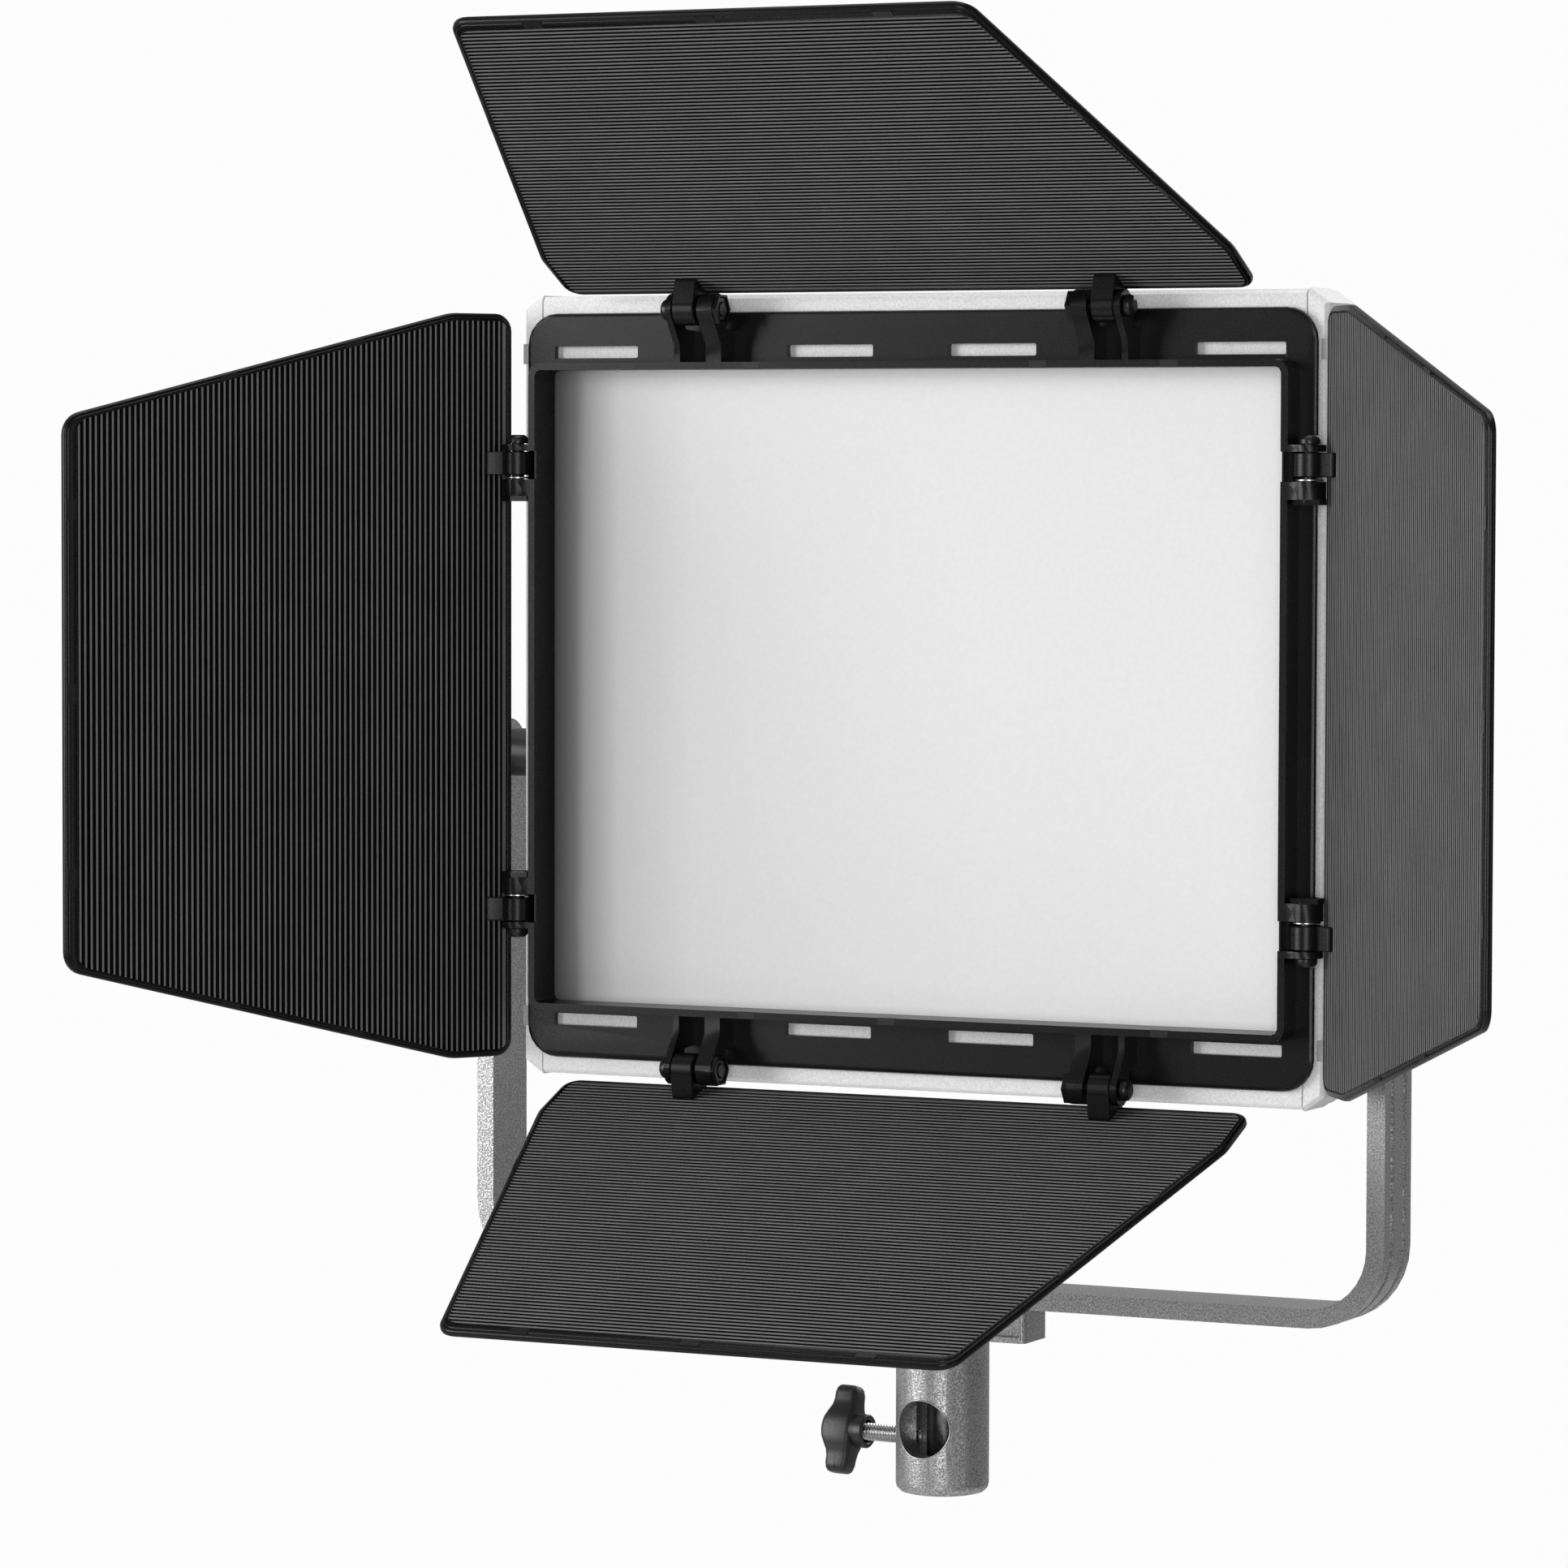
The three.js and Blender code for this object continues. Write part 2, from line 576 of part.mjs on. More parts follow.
function barndoorFrameSolid() {
  const flangeHalf = [FLANGE_HALF_X - FLANGE_EDGE, FLANGE_HALF_Z - FLANGE_EDGE];
  const flangeOutline = roundedRectangle(0, 0, ...flangeHalf, FLANGE_CORNER - FLANGE_EDGE);
  const flange = bevelledAlongY(flangeOutline, FLANGE_EDGE, FLANGE_FRONT_Y, FLANGE_BACK_Y, 3, 2);
  const innerHalf = [COLLAR_HALF_X - COLLAR_WALL, COLLAR_HALF_Z - COLLAR_WALL];
  const collarOutline = roundedRectangle(0, 0, COLLAR_HALF_X, COLLAR_HALF_Z, COLLAR_CORNER);
  const innerOutline = roundedRectangle(0, 0, ...innerHalf, COLLAR_INNER_CORNER);
  const collar = alongY(collarOutline, 0, COLLAR_BACK_Y, 2);
  const opening = alongY(innerOutline, -1, COLLAR_BACK_Y + 1, 1);
  const ears = [];
  const holes = [];
  for (const a of [-1, 1]) {
    for (const b of [-1, 1]) {
      const topBarrel = circle(TOP_AXIS.y, b * TOP_AXIS.z, BARREL_RADIUS);
      const sideBarrel = circle(b * SIDE_AXIS.x, SIDE_AXIS.y, BARREL_RADIUS);
      for (const ear of [THICK_EAR, THIN_EAR]) {
        ears.push(alongX(topEarShape(b), ...span(a, ear)), alongX(topBarrel, ...span(a, ear), 8));
        ears.push(alongZ(sideEarShape(b), ...span(a, ear)), alongZ(sideBarrel, ...span(a, ear), 8));
      }
      const bossSpan = span(a, NUT_BOSS);
      ears.push(alongX(hexagon(TOP_AXIS.y, b * TOP_AXIS.z, NUT_BOSS_APOTHEM, true), ...bossSpan));
      ears.push(alongZ(hexagon(b * SIDE_AXIS.x, SIDE_AXIS.y, NUT_BOSS_APOTHEM), ...bossSpan));
      const pinSpan = span(a, [NUT_BOSS[0] - 1, THIN_EAR[1] + 1]);
      const pocketSpan = span(a, [NUT_BOSS[0] - 1, NUT_POCKET_END]);
      holes.push(alongX(circle(TOP_AXIS.y, b * TOP_AXIS.z, PIN_HOLE_RADIUS), ...pinSpan, 5));
      holes.push(alongZ(circle(b * SIDE_AXIS.x, SIDE_AXIS.y, PIN_HOLE_RADIUS), ...pinSpan, 5));
      const pocketApothem = NUT_APOTHEM + GAP;
      holes.push(alongX(hexagon(TOP_AXIS.y, b * TOP_AXIS.z, pocketApothem, true), ...pocketSpan));
      holes.push(alongZ(hexagon(b * SIDE_AXIS.x, SIDE_AXIS.y, pocketApothem), ...pocketSpan));
      const notchZ = span(a, [THICK_EAR[1], THIN_EAR[0]]);
      for (const [inner, depth] of [
        [COLLAR_HALF_X - COLLAR_WALL - 1, NOTCH_WALL_DEPTH],
        [COLLAR_HALF_X - COLLAR_WALL + NOTCH_WALL, NOTCH_DEPTH],
      ]) {
        holes.push(box(...span(b, [inner, COLLAR_HALF_X + 0.5]), -2, depth, ...notchZ));
      }
      for (const x of SLOT_CENTRES_X) {
        const slotHalf = [SLOT_HALF_LENGTH, SLOT_HALF_WIDTH];
        const slot = roundedRectangle(a * x, b * SLOT_CENTRE_Z, ...slotHalf, SLOT_CORNER);
        holes.push(alongY(slot, FLANGE_FRONT_Y - 1, FLANGE_BACK_Y + 1, 1));
      }
    }
  }
  return cut(joined([flange, collar, ...ears]), [opening, ...holes]);
}

function hingeScrewGeometry() {
  const profile = [
    [0, SCREW_TIP],
    [SCREW_RADIUS, SCREW_TIP],
    [SCREW_RADIUS, SCREW_HEAD[0]],
    [SCREW_HEAD_RADIUS, SCREW_HEAD[0]],
    [SCREW_HEAD_RADIUS, SCREW_HEAD[1] - 1.2],
    [SCREW_HEAD_RADIUS - 1, SCREW_HEAD[1]],
    [0, SCREW_HEAD[1]],
  ];
  return turnedY(profile, 10).rotateZ(-Math.PI / 2);
}

function hingeNutGeometry() {
  const nut = alongX(hexagon(0, 0, NUT_APOTHEM, true), ...NUT);
  return geometryOf(cut(nut, [alongX(circle(0, 0, PIN_HOLE_RADIUS), 50, 70, 5)]));
}

// ---- Leaves, drawn pointing straight forward with the hinge axis as their X axis ----

// Leaf outline moved in by its own distance at the sides, the hinge edge and the outer edge.
function leafOutline(design, side, hinge, outer, hingeRadius, outerRadius) {
  const slope = (design.half - design.outer) / (LEAF_LENGTH - LEAF_PARALLEL);
  const half = design.half - side;
  const taperShift = side * Math.sqrt(1 + slope * slope);
  const kneeU = LEAF_PARALLEL + (side - taperShift) / slope;
  const outerU = LEAF_LENGTH - outer;
  const outerHalf = design.outer - taperShift + slope * outer;
  const points = [
    [-half, hinge],
    [half, hinge],
    [half, kneeU],
    [outerHalf, outerU],
    [-outerHalf, outerU],
    [-half, kneeU],
  ];
  const radii = [hingeRadius, hingeRadius, 0, outerRadius, outerRadius, 0];
  return roundedPolygon(points.map(([v, u]) => [v, design.behind - u]), radii);
}

function tongueSolid(design, sign) {
  const { offset, behind } = design;
  const padBack = offset - GAP - PAD_THICK;
  const pad = [
    [behind, padBack],
    [behind, offset - GAP],
    [behind - PAD_LENGTH, offset - GAP],
    [behind - PAD_LENGTH, padBack + 0.6],
    design.tongueFront,
    [0, 0],
    [BARREL_RADIUS * 0.7, BARREL_RADIUS * 0.7],
  ];
  const root = [
    [behind, padBack],
    [behind, offset + 1],
    [behind - LEAF_BAND.hinge + 0.1, offset + 1],
    [behind - LEAF_BAND.hinge + 0.1, padBack],
  ];
  const where = span(sign, TONGUE);
  return joined([
    alongX(circle(0, 0, BARREL_RADIUS), ...where, 8),
    alongX(shapeOf(pad), ...where),
    alongX(shapeOf(root), ...where),
  ]);
}

function leafFrameSolid(design) {
  const { offset } = design;
  const { side, hinge, outer } = LEAF_BAND;
  const inner = LEDGE_WIDTH;
  const edge = leafOutline(design, 0, 0, 0, HINGE_CORNER, OUTER_CORNER);
  const plate = alongZ(edge, offset, offset + LEAF_THICK);
  const pocket = leafOutline(design, side, hinge, outer, HINGE_CORNER - 2, OUTER_CORNER - 3);
  const light = leafOutline(design, side + inner, hinge + inner, outer + inner, 1, 1);
  const ring = cut(plate, [
    alongZ(pocket, offset - 1, offset + LEAF_THICK - LEDGE_THICK),
    alongZ(light, offset - 1, offset + LEAF_THICK + 1),
  ]);
  const tongues = [tongueSolid(design, -1), tongueSolid(design, 1)];
  return cut(joined([ring, ...tongues]), [alongX(circle(0, 0, PIN_HOLE_RADIUS), -80, 80, 5)]);
}

// The ribbed insert: a saw-tooth section run across the leaf and trimmed to its outline.
function leafPanelSolid(design) {
  const { offset, behind } = design;
  const { side, hinge, outer } = LEAF_BAND;
  const crest = offset + RIB_RECESS;
  const root = crest + RIB_DEPTH;
  const back = offset + PANEL_BACK;
  const section = [
    [behind + 1, back],
    [behind + 1, root],
  ];
  for (let i = 0; i < RIBS - 1; i++) {
    const u = FIRST_RIB + i * RIB_PITCH;
    section.push([behind - u + 0.5 * RIB_PITCH, root], [behind - u, crest]);
  }
  section.push([behind - LEAF_LENGTH - 1, root], [behind - LEAF_LENGTH - 1, back]);
  const ribbed = alongX(shapeOf(section), -design.half - 2, design.half + 2);
  const radii = [HINGE_CORNER - 2.3, OUTER_CORNER - 3.3];
  const trim = leafOutline(design, side + GAP, hinge + GAP, outer + GAP, ...radii);
  return ribbed.intersect(alongZ(trim, offset - 1, offset + LEAF_THICK));
}

// ---- Yoke and stand fitting ----

// U outline in (X, Z); shrink thins the bar from its outer face.
function yokeShape(shrink) {
  const outer = YOKE_OUTER_X - shrink;
  const inner = YOKE_OUTER_X - YOKE_THICK;
  const bottom = YOKE_BOTTOM_Z + shrink;
  const bendX = YOKE_OUTER_X - YOKE_BEND;
  const bendZ = YOKE_BOTTOM_Z + YOKE_BEND;
  const shape = new THREE.Shape();
  shape.moveTo(-outer, YOKE_ARM_TOP_Z);
  shape.lineTo(-outer, bendZ);
  shape.absarc(-bendX, bendZ, YOKE_BEND - shrink, Math.PI, 1.5 * Math.PI, false);
  shape.lineTo(bendX, bottom);
  shape.absarc(bendX, bendZ, YOKE_BEND - shrink, 1.5 * Math.PI, 2 * Math.PI, false);
  shape.lineTo(outer, YOKE_ARM_TOP_Z);
  shape.lineTo(inner, YOKE_ARM_TOP_Z);
  shape.lineTo(inner, bendZ);
  shape.absarc(bendX, bendZ, YOKE_BEND - YOKE_THICK, 0, -Math.PI / 2, true);
  shape.lineTo(-bendX, YOKE_BOTTOM_Z + YOKE_THICK);
  shape.absarc(-bendX, bendZ, YOKE_BEND - YOKE_THICK, -Math.PI / 2, -Math.PI, true);
  shape.lineTo(-inner, YOKE_ARM_TOP_Z);
  return shape;
}

function boltHole(z0, z1) {
  return alongZ(circle(0, SOCKET_BOLT.y, SOCKET_BOLT.hole), z0, z1, 6);
}

function yokeBarSolid() {
  const core = alongY(yokeShape(YOKE_GROOVE), YOKE_FRONT_Y, YOKE_FRONT_Y + YOKE_WIDTH);
  const lands = YOKE_LANDS.map((land) => alongY(yokeShape(0), ...land.map((y) => YOKE_FRONT_Y + y)));
  const endRadius = YOKE_WIDTH / 2 - 0.05;
  const side = [
    [YOKE_FRONT_Y, YOKE_BOTTOM_Z - 5],
    [YOKE_FRONT_Y + YOKE_WIDTH, YOKE_BOTTOM_Z - 5],
    [YOKE_FRONT_Y + YOKE_WIDTH, YOKE_ARM_TOP_Z],
    [YOKE_FRONT_Y, YOKE_ARM_TOP_Z],
  ];
  const roundEnds = alongX(roundedPolygon(side, [0, 0, endRadius, endRadius], 8), -200, 200);
  return cut(joined([core, ...lands]).intersect(roundEnds), [
    alongX(circle(PIVOT.y, PIVOT.z, STUD_HOLE_RADIUS), -200, 200, 8),
    boltHole(YOKE_BOTTOM_Z - 5, YOKE_BOTTOM_Z + 15),
  ]);
}

function yokeBlockSolid() {
  const top = YOKE_BOTTOM_Z - GAP;
  const midY = (BLOCK_FRONT_Y + BLOCK_BACK_Y) / 2;
  const halfY = (BLOCK_BACK_Y - BLOCK_FRONT_Y) / 2;
  const { halfX, socketHalfX, reach } = BLOCK_NECK;
  const neck = shapeOf([
    [-halfX, BLOCK_BACK_Y - 1],
    [halfX, BLOCK_BACK_Y - 1],
    [socketHalfX, SOCKET_Y + reach],
    [-socketHalfX, SOCKET_Y + reach],
  ]);
  const { x, depth, margin } = BLOCK_POCKET;
  const body = joined([
    alongZ(roundedRectangle(0, midY, BLOCK_HALF_X, halfY, BLOCK_CORNER), BLOCK_BOTTOM_Z, top, 2),
    alongZ(neck, BLOCK_BOTTOM_Z, top),
    alongZ(circle(0, SOCKET_Y, socketHalfX + 0.5), BLOCK_BOTTOM_Z, top, 12),
  ]);
  const pocketZ = [BLOCK_BOTTOM_Z + margin, top - margin];
  const pockets = [-1, 1].map((side) =>
    box(...span(side, x), BLOCK_FRONT_Y - 1, BLOCK_FRONT_Y + depth, ...pocketZ),
  );
  return cut(body, [...pockets, boltHole(BLOCK_BOTTOM_Z - 1, top + 1)]);
}

function socketBoltGeometry() {
  const head = YOKE_BOTTOM_Z + YOKE_THICK + GAP;
  const { radius, headRadius, headHeight, into } = SOCKET_BOLT;
  const profile = [
    [0, SOCKET_TOP_Z - into],
    [radius, SOCKET_TOP_Z - into],
    [radius, head],
    [headRadius, head],
    [headRadius, head + headHeight - 1],
    [headRadius - 1, head + headHeight],
    [0, head + headHeight],
  ];
  return turnedY(profile, 20).rotateX(Math.PI / 2).translate(0, SOCKET_BOLT.y, 0);
}

function socketSolid() {
  const profile = [
    [0, SOCKET_TOP_Z],
    [0, SOCKET_MOUTH_Z + SOCKET_DEPTH],
    [SOCKET_BORE, SOCKET_MOUTH_Z + SOCKET_DEPTH],
    [SOCKET_BORE, SOCKET_MOUTH_Z + 0.8],
    [SOCKET_BORE + 0.8, SOCKET_MOUTH_Z],
  ];
  for (let i = 0; i <= 3; i++) {
    const angle = (Math.PI * i) / 6;
    profile.push([
      SOCKET_RADIUS - SOCKET_FILLET * (1 - Math.sin(angle)),
      SOCKET_MOUTH_Z + SOCKET_FILLET * (1 - Math.cos(angle)),
    ]);
  }
  profile.push([SOCKET_RADIUS, SOCKET_TOP_Z], [0, SOCKET_TOP_Z]);
  const bored = cut(solid(turnedY(profile, 32).rotateX(Math.PI / 2)), [
    alongY(circle(0, WINDOW_Z, WINDOW_RADIUS), -20, -4, 12),
    alongX(circle(0, LOCK_Z, LOCK_RADIUS + 0.25), -20, -4, 8),
  ]);
  const placed = bored.rotate([0, 0, SOCKET_TURN]).translate([0, SOCKET_Y, 0]);
  return cut(placed, [boltHole(SOCKET_TOP_Z - SOCKET_BOLT.into - GAP, SOCKET_TOP_Z + 1)]);
}

// Wing handle about the lock screw's axis, drawn in (X, Z): a boss in the middle, a lobe each way.
function lockHandleSolid() {
  const lower = [
    [-28.8, -5],
    [-28.8, -9.8],
    [-30.2, -13],
    [-36, -13.6],
    [-37.4, -12],
    [-37.7, -7],
    [-39.6, -4],
    [-40.5, 0],
  ];
  const upper = lower
    .slice(0, -1)
    .map(([x, z]) => [x, -z])
    .reverse();
  const wings = alongY(shapeOf([...lower, ...upper]), -HANDLE_HALF_Y, HANDLE_HALF_Y);
  const hub = alongX(circle(0, 0, HANDLE_HUB_RADIUS), ...HANDLE_HUB_X, 8);
  const bore = alongX(circle(0, 0, LOCK_RADIUS + GAP), LOCK_END_X - GAP, 0, 6);
  return cut(joined([wings, hub]), [bore]);
}

// Six-lobed knob outside the yoke arm, on the positive X side.
function tiltKnobSolid() {
  const start = YOKE_OUTER_X + GAP;
  const outline = [];
  const lobes = 6;
  for (let i = 0; i < 6 * lobes; i++) {
    const angle = (2 * Math.PI * i) / (6 * lobes);
    const radius = TILT_KNOB_RADIUS - 1.3 * (1 - Math.cos(lobes * angle));
    outline.push([PIVOT.y + radius * Math.cos(angle), PIVOT.z + radius * Math.sin(angle)]);
  }
  const end = start + TILT_KNOB_THICK;
  const grip = alongX(shapeOf(outline), start + 3, end);
  const collar = alongX(circle(PIVOT.y, PIVOT.z, 8), start, start + 4, 8);
  const dome = alongX(circle(PIVOT.y, PIVOT.z, 9), end - 1, end + 1.2, 8);
  const bore = alongX(circle(PIVOT.y, PIVOT.z, STUD_HOLE_RADIUS), start - 1, start + 8.3, 6);
  return cut(joined([grip, collar, dome]), [bore]);
}

function tiltStudSolid() {
  return alongX(circle(PIVOT.y, PIVOT.z, STUD_RADIUS), CASING_HALF_X - 10, YOKE_OUTER_X + 8, 6);
}

function tiltBossSolid() {
  const inner = CASING_HALF_X + GAP;
  const outer = YOKE_OUTER_X - YOKE_THICK - GAP;
  const body = alongX(circle(PIVOT.y, PIVOT.z, TILT_BOSS_RADIUS), inner, outer, 12);
  return cut(body, [alongX(circle(PIVOT.y, PIVOT.z, STUD_HOLE_RADIUS), inner - 1, outer + 1, 6)]);
}

// The same solid on the other side of the YZ plane.
function mirroredX(geometry) {
  const mirrored = geometry.clone().scale(-1, 1, 1);
  const index = mirrored.index.array;
  for (let i = 0; i < index.length; i += 3) {
    [index[i], index[i + 1]] = [index[i + 1], index[i]];
  }
  mirrored.computeVertexNormals();
  return mirrored;
}

// ---- Assembly ----

const assembly = new THREE.Group();
assembly.name = "assembly";
assembly.position.set(0, -SOCKET_Y, -SOCKET_MOUTH_Z);

const railGeometry = geometryOf(railSolid());
const bottomRail = mesh("casing_bottom_rail", railGeometry, WHITE_PAINT);
bottomRail.rotation.y = Math.PI;
assembly.add(
  mesh("casing_top_rail", railGeometry, WHITE_PAINT),
  bottomRail,
  solidMesh("casing_left_cap", capSolid(-1), WHITE_PAINT),
  solidMesh("casing_right_cap", capSolid(1), WHITE_PAINT),
  solidMesh("rear_cover", rearCoverSolid(), WHITE_PAINT),
);

const diffuser = mesh(
  "diffuser_panel",
  new THREE.BoxGeometry(2 * DIFFUSER_HALF_X, DIFFUSER_THICK, 2 * DIFFUSER_HALF_Z),
  DIFFUSER,
);
diffuser.position.y = DIFFUSER_FRONT_Y + DIFFUSER_THICK / 2;
assembly.add(
  diffuser,
  solidMesh("led_board", ledBoardSolid(), DIFFUSER),
  solidMesh("heat_sink", heatSinkSolid(), ALUMINIUM),
  solidMesh("driver_board", driverBoardSolid(), BOARD_GREEN),
);

assembly.add(solidMesh("control_panel", controlPanelSolid(), BLACK_NYLON));
const displayShape = roundedRectangle(PANEL_CENTRE_X, DISPLAY_Z, DISPLAY_HALF.x, DISPLAY_HALF.z, 1.7);
const display = alongY(displayShape, PANEL_BACK_Y - 1, PANEL_BACK_Y, 1);
assembly.add(solidMesh("display_window", display, BLACK_GLOSS));
for (const [name, x, size] of [
  ["dimmer_knob", DIMMER_X, DIMMER_KNOB],
  ["colour_knob", COLOUR_X, COLOUR_KNOB],
]) {
  const knob = solidMesh(name, controlKnobSolid(size), BLACK_NYLON);
  knob.position.set(x, 0, KNOB_Z);
  assembly.add(knob);
}
const buttonShape = roundedRectangle(PANEL_CENTRE_X, BUTTON_Z, BUTTON_HALF, BUTTON_HALF, 1.3);
const button = alongY(buttonShape, CASING_BACK_Y + 1.4, PANEL_BACK_Y + 1.5, 1);
assembly.add(solidMesh("mode_button", button, BLACK_NYLON));
const rocker = solidMesh("power_switch", rockerSolid(), BLACK_GLOSS);
rocker.position.set(SWITCH_X, PANEL_BACK_Y - 0.5, SWITCH_Z);
rocker.rotation.x = THREE.MathUtils.degToRad(-SWITCH_TILT);
assembly.add(rocker);
const inletProfile = [
  [0, CASING_BACK_Y + 0.8],
  [INLET_RADIUS, CASING_BACK_Y + 0.8],
  [INLET_RADIUS, PANEL_BACK_Y + 1],
  [INLET_RADIUS - INLET_WALL, PANEL_BACK_Y + 1],
  [INLET_RADIUS - INLET_WALL, CASING_BACK_Y + 1.8],
  [1, CASING_BACK_Y + 1.8],
  [1, PANEL_BACK_Y],
  [0, PANEL_BACK_Y],
];
const inlet = mesh("power_inlet", turnedY(inletProfile, 16), BLACK_STEEL);
inlet.position.set(INLET_X, 0, SWITCH_Z);
assembly.add(inlet);

assembly.add(solidMesh("barndoor_frame", barndoorFrameSolid(), BLACK_NYLON));

// Each hinge pin lies along its own X axis, pointing from the middle of the leaf outwards.
const screwGeometry = hingeScrewGeometry();
const nutGeometry = hingeNutGeometry();
const hinges = [
  ["top_left", [0, TOP_AXIS.y, TOP_AXIS.z], [0, Math.PI, 0]],
  ["top_right", [0, TOP_AXIS.y, TOP_AXIS.z], [0, 0, 0]],
  ["bottom_left", [0, TOP_AXIS.y, -TOP_AXIS.z], [0, Math.PI, 0]],
  ["bottom_right", [0, TOP_AXIS.y, -TOP_AXIS.z], [0, 0, 0]],
  ["left_upper", [-SIDE_AXIS.x, SIDE_AXIS.y, 0], [0, -Math.PI / 2, 0]],
  ["left_lower", [-SIDE_AXIS.x, SIDE_AXIS.y, 0], [0, Math.PI / 2, 0]],
  ["right_upper", [SIDE_AXIS.x, SIDE_AXIS.y, 0], [0, -Math.PI / 2, 0]],
  ["right_lower", [SIDE_AXIS.x, SIDE_AXIS.y, 0], [0, Math.PI / 2, 0]],
];
for (const [name, position, rotation] of hinges) {
  const pin = new THREE.Group();
  pin.name = "hinge_" + name;
  pin.position.set(...position);
  pin.rotation.set(...rotation);
  pin.add(mesh("hinge_screw_" + name, screwGeometry, BLACK_STEEL));
  pin.add(mesh("hinge_nut_" + name, nutGeometry, STEEL));
  assembly.add(pin);
}

// Each leaf group sits on its hinge axis, turned open; the inner group turns the leaf's
// X axis along that hinge and its outer face away from the light.
const leafGeometry = new Map(
  [TOP_LEAF, SIDE_LEAF].map((design) => [
    design,
    { frame: geometryOf(leafFrameSolid(design)), panel: geometryOf(leafPanelSolid(design)) },
  ]),
);
const leaves = [
  ["top", TOP_LEAF, [0, TOP_AXIS.y, TOP_AXIS.z], "x", -OPENING.top, 0],
  ["bottom", TOP_LEAF, [0, TOP_AXIS.y, -TOP_AXIS.z], "x", OPENING.bottom, Math.PI],
  ["left", SIDE_LEAF, [-SIDE_AXIS.x, SIDE_AXIS.y, 0], "z", -OPENING.left, -Math.PI / 2],
  ["right", SIDE_LEAF, [SIDE_AXIS.x, SIDE_AXIS.y, 0], "z", OPENING.right, Math.PI / 2],
];
for (const [name, design, position, axis, degrees, roll] of leaves) {
  const hinge = new THREE.Group();
  hinge.name = name + "_leaf";
  hinge.position.set(...position);
  hinge.rotation[axis] = THREE.MathUtils.degToRad(degrees);
  const facing = new THREE.Group();
  facing.rotation.y = roll;
  const { frame, panel } = leafGeometry.get(design);
  facing.add(mesh(name + "_leaf_frame", frame, BLACK_NYLON));
  facing.add(mesh(name + "_leaf_panel", panel, BLACK_NYLON));
  hinge.add(facing);
  assembly.add(hinge);
}

assembly.add(
  solidMesh("yoke_bar", yokeBarSolid(), SILVER_PAINT),
  solidMesh("yoke_block", yokeBlockSolid(), SILVER_PAINT),
  mesh("socket_bolt", socketBoltGeometry(), STEEL),
  solidMesh("stand_socket", socketSolid(), SILVER_PAINT),
);
const lock = new THREE.Group();
lock.name = "lock";
lock.position.set(0, SOCKET_Y, LOCK_Z);
lock.rotation.z = THREE.MathUtils.degToRad(SOCKET_TURN);
const lockHandle = solidMesh("lock_handle", lockHandleSolid(), BLACK_NYLON);
lockHandle.rotation.x = THREE.MathUtils.degToRad(HANDLE_TURN);
const lockScrew = alongX(circle(0, 0, LOCK_RADIUS), LOCK_END_X, LOCK_TIP_X, 6);
lock.add(solidMesh("lock_screw", lockScrew, STEEL), lockHandle);
assembly.add(lock);
for (const [name, made, look] of [
  ["tilt_knob", tiltKnobSolid(), BLACK_NYLON],
  ["tilt_stud", tiltStudSolid(), STEEL],
  ["tilt_boss", tiltBossSolid(), BLACK_NYLON],
]) {
  const right = geometryOf(made);
  assembly.add(mesh(name + "_right", right, look), mesh(name + "_left", mirroredX(right), look));
}

const light = new THREE.Group();
light.name = "led_panel_light";
light.add(assembly);

export default light;
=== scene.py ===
"""LED panel light with four ribbed barn-door leaves, on a U yoke with a stand socket.

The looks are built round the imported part: most nodes keep their shape and get softened edges,
and the leaves, hinge hardware, lock screw and handle are modelled again in finer detail.
Dimensions are in millimetres in the panel's frame (origin at the centre of the collar's rim).
"""

import math

import bpy
from mathutils import Matrix, Vector


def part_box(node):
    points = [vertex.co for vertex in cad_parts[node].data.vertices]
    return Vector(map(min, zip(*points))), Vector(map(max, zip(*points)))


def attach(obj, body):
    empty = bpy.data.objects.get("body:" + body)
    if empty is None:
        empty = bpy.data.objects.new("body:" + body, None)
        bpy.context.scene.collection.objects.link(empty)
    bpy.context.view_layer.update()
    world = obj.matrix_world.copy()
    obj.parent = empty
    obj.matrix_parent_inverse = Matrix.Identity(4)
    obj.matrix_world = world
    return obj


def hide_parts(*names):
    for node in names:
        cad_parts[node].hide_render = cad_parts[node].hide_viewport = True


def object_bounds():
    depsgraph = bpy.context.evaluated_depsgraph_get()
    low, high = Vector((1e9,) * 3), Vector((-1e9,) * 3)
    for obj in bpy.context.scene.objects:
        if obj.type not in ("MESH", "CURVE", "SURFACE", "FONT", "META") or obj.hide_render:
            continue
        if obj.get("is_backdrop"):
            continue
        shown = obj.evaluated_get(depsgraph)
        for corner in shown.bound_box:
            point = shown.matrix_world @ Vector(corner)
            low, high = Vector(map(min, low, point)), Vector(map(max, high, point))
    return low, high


MM = 0.001
SOCKET_Y, SOCKET_MOUTH_Z = 35.7, -246.3
TO_ROW = Matrix.Scale(MM, 4) @ Matrix.Translation((0, -SOCKET_Y, -SOCKET_MOUTH_Z))

# Leaves: u runs from the hinge edge outwards, v along the hinge, n away from the light.
LEAF_LENGTH, LEAF_PARALLEL = 154.4, 21.5
BAND_SIDE, BAND_HINGE, BAND_OUTER = 2.3, 2.0, 4.3
RIBS, RIB_PITCH, FIRST_RIB = 80, 1.878, 2.6
TOP_LEAF = {
    "half": 113.75,
    "outer": 81.3,
    "offset": 7.0,
    "behind": 3.55,
    "tongue_front": (-4.7, -1.15),
}
SIDE_LEAF = {
    "half": 115.4,
    "outer": 82.7,
    "offset": 5.2,
    "behind": 1.3,
    "tongue_front": (-4.4, 1.6),
}
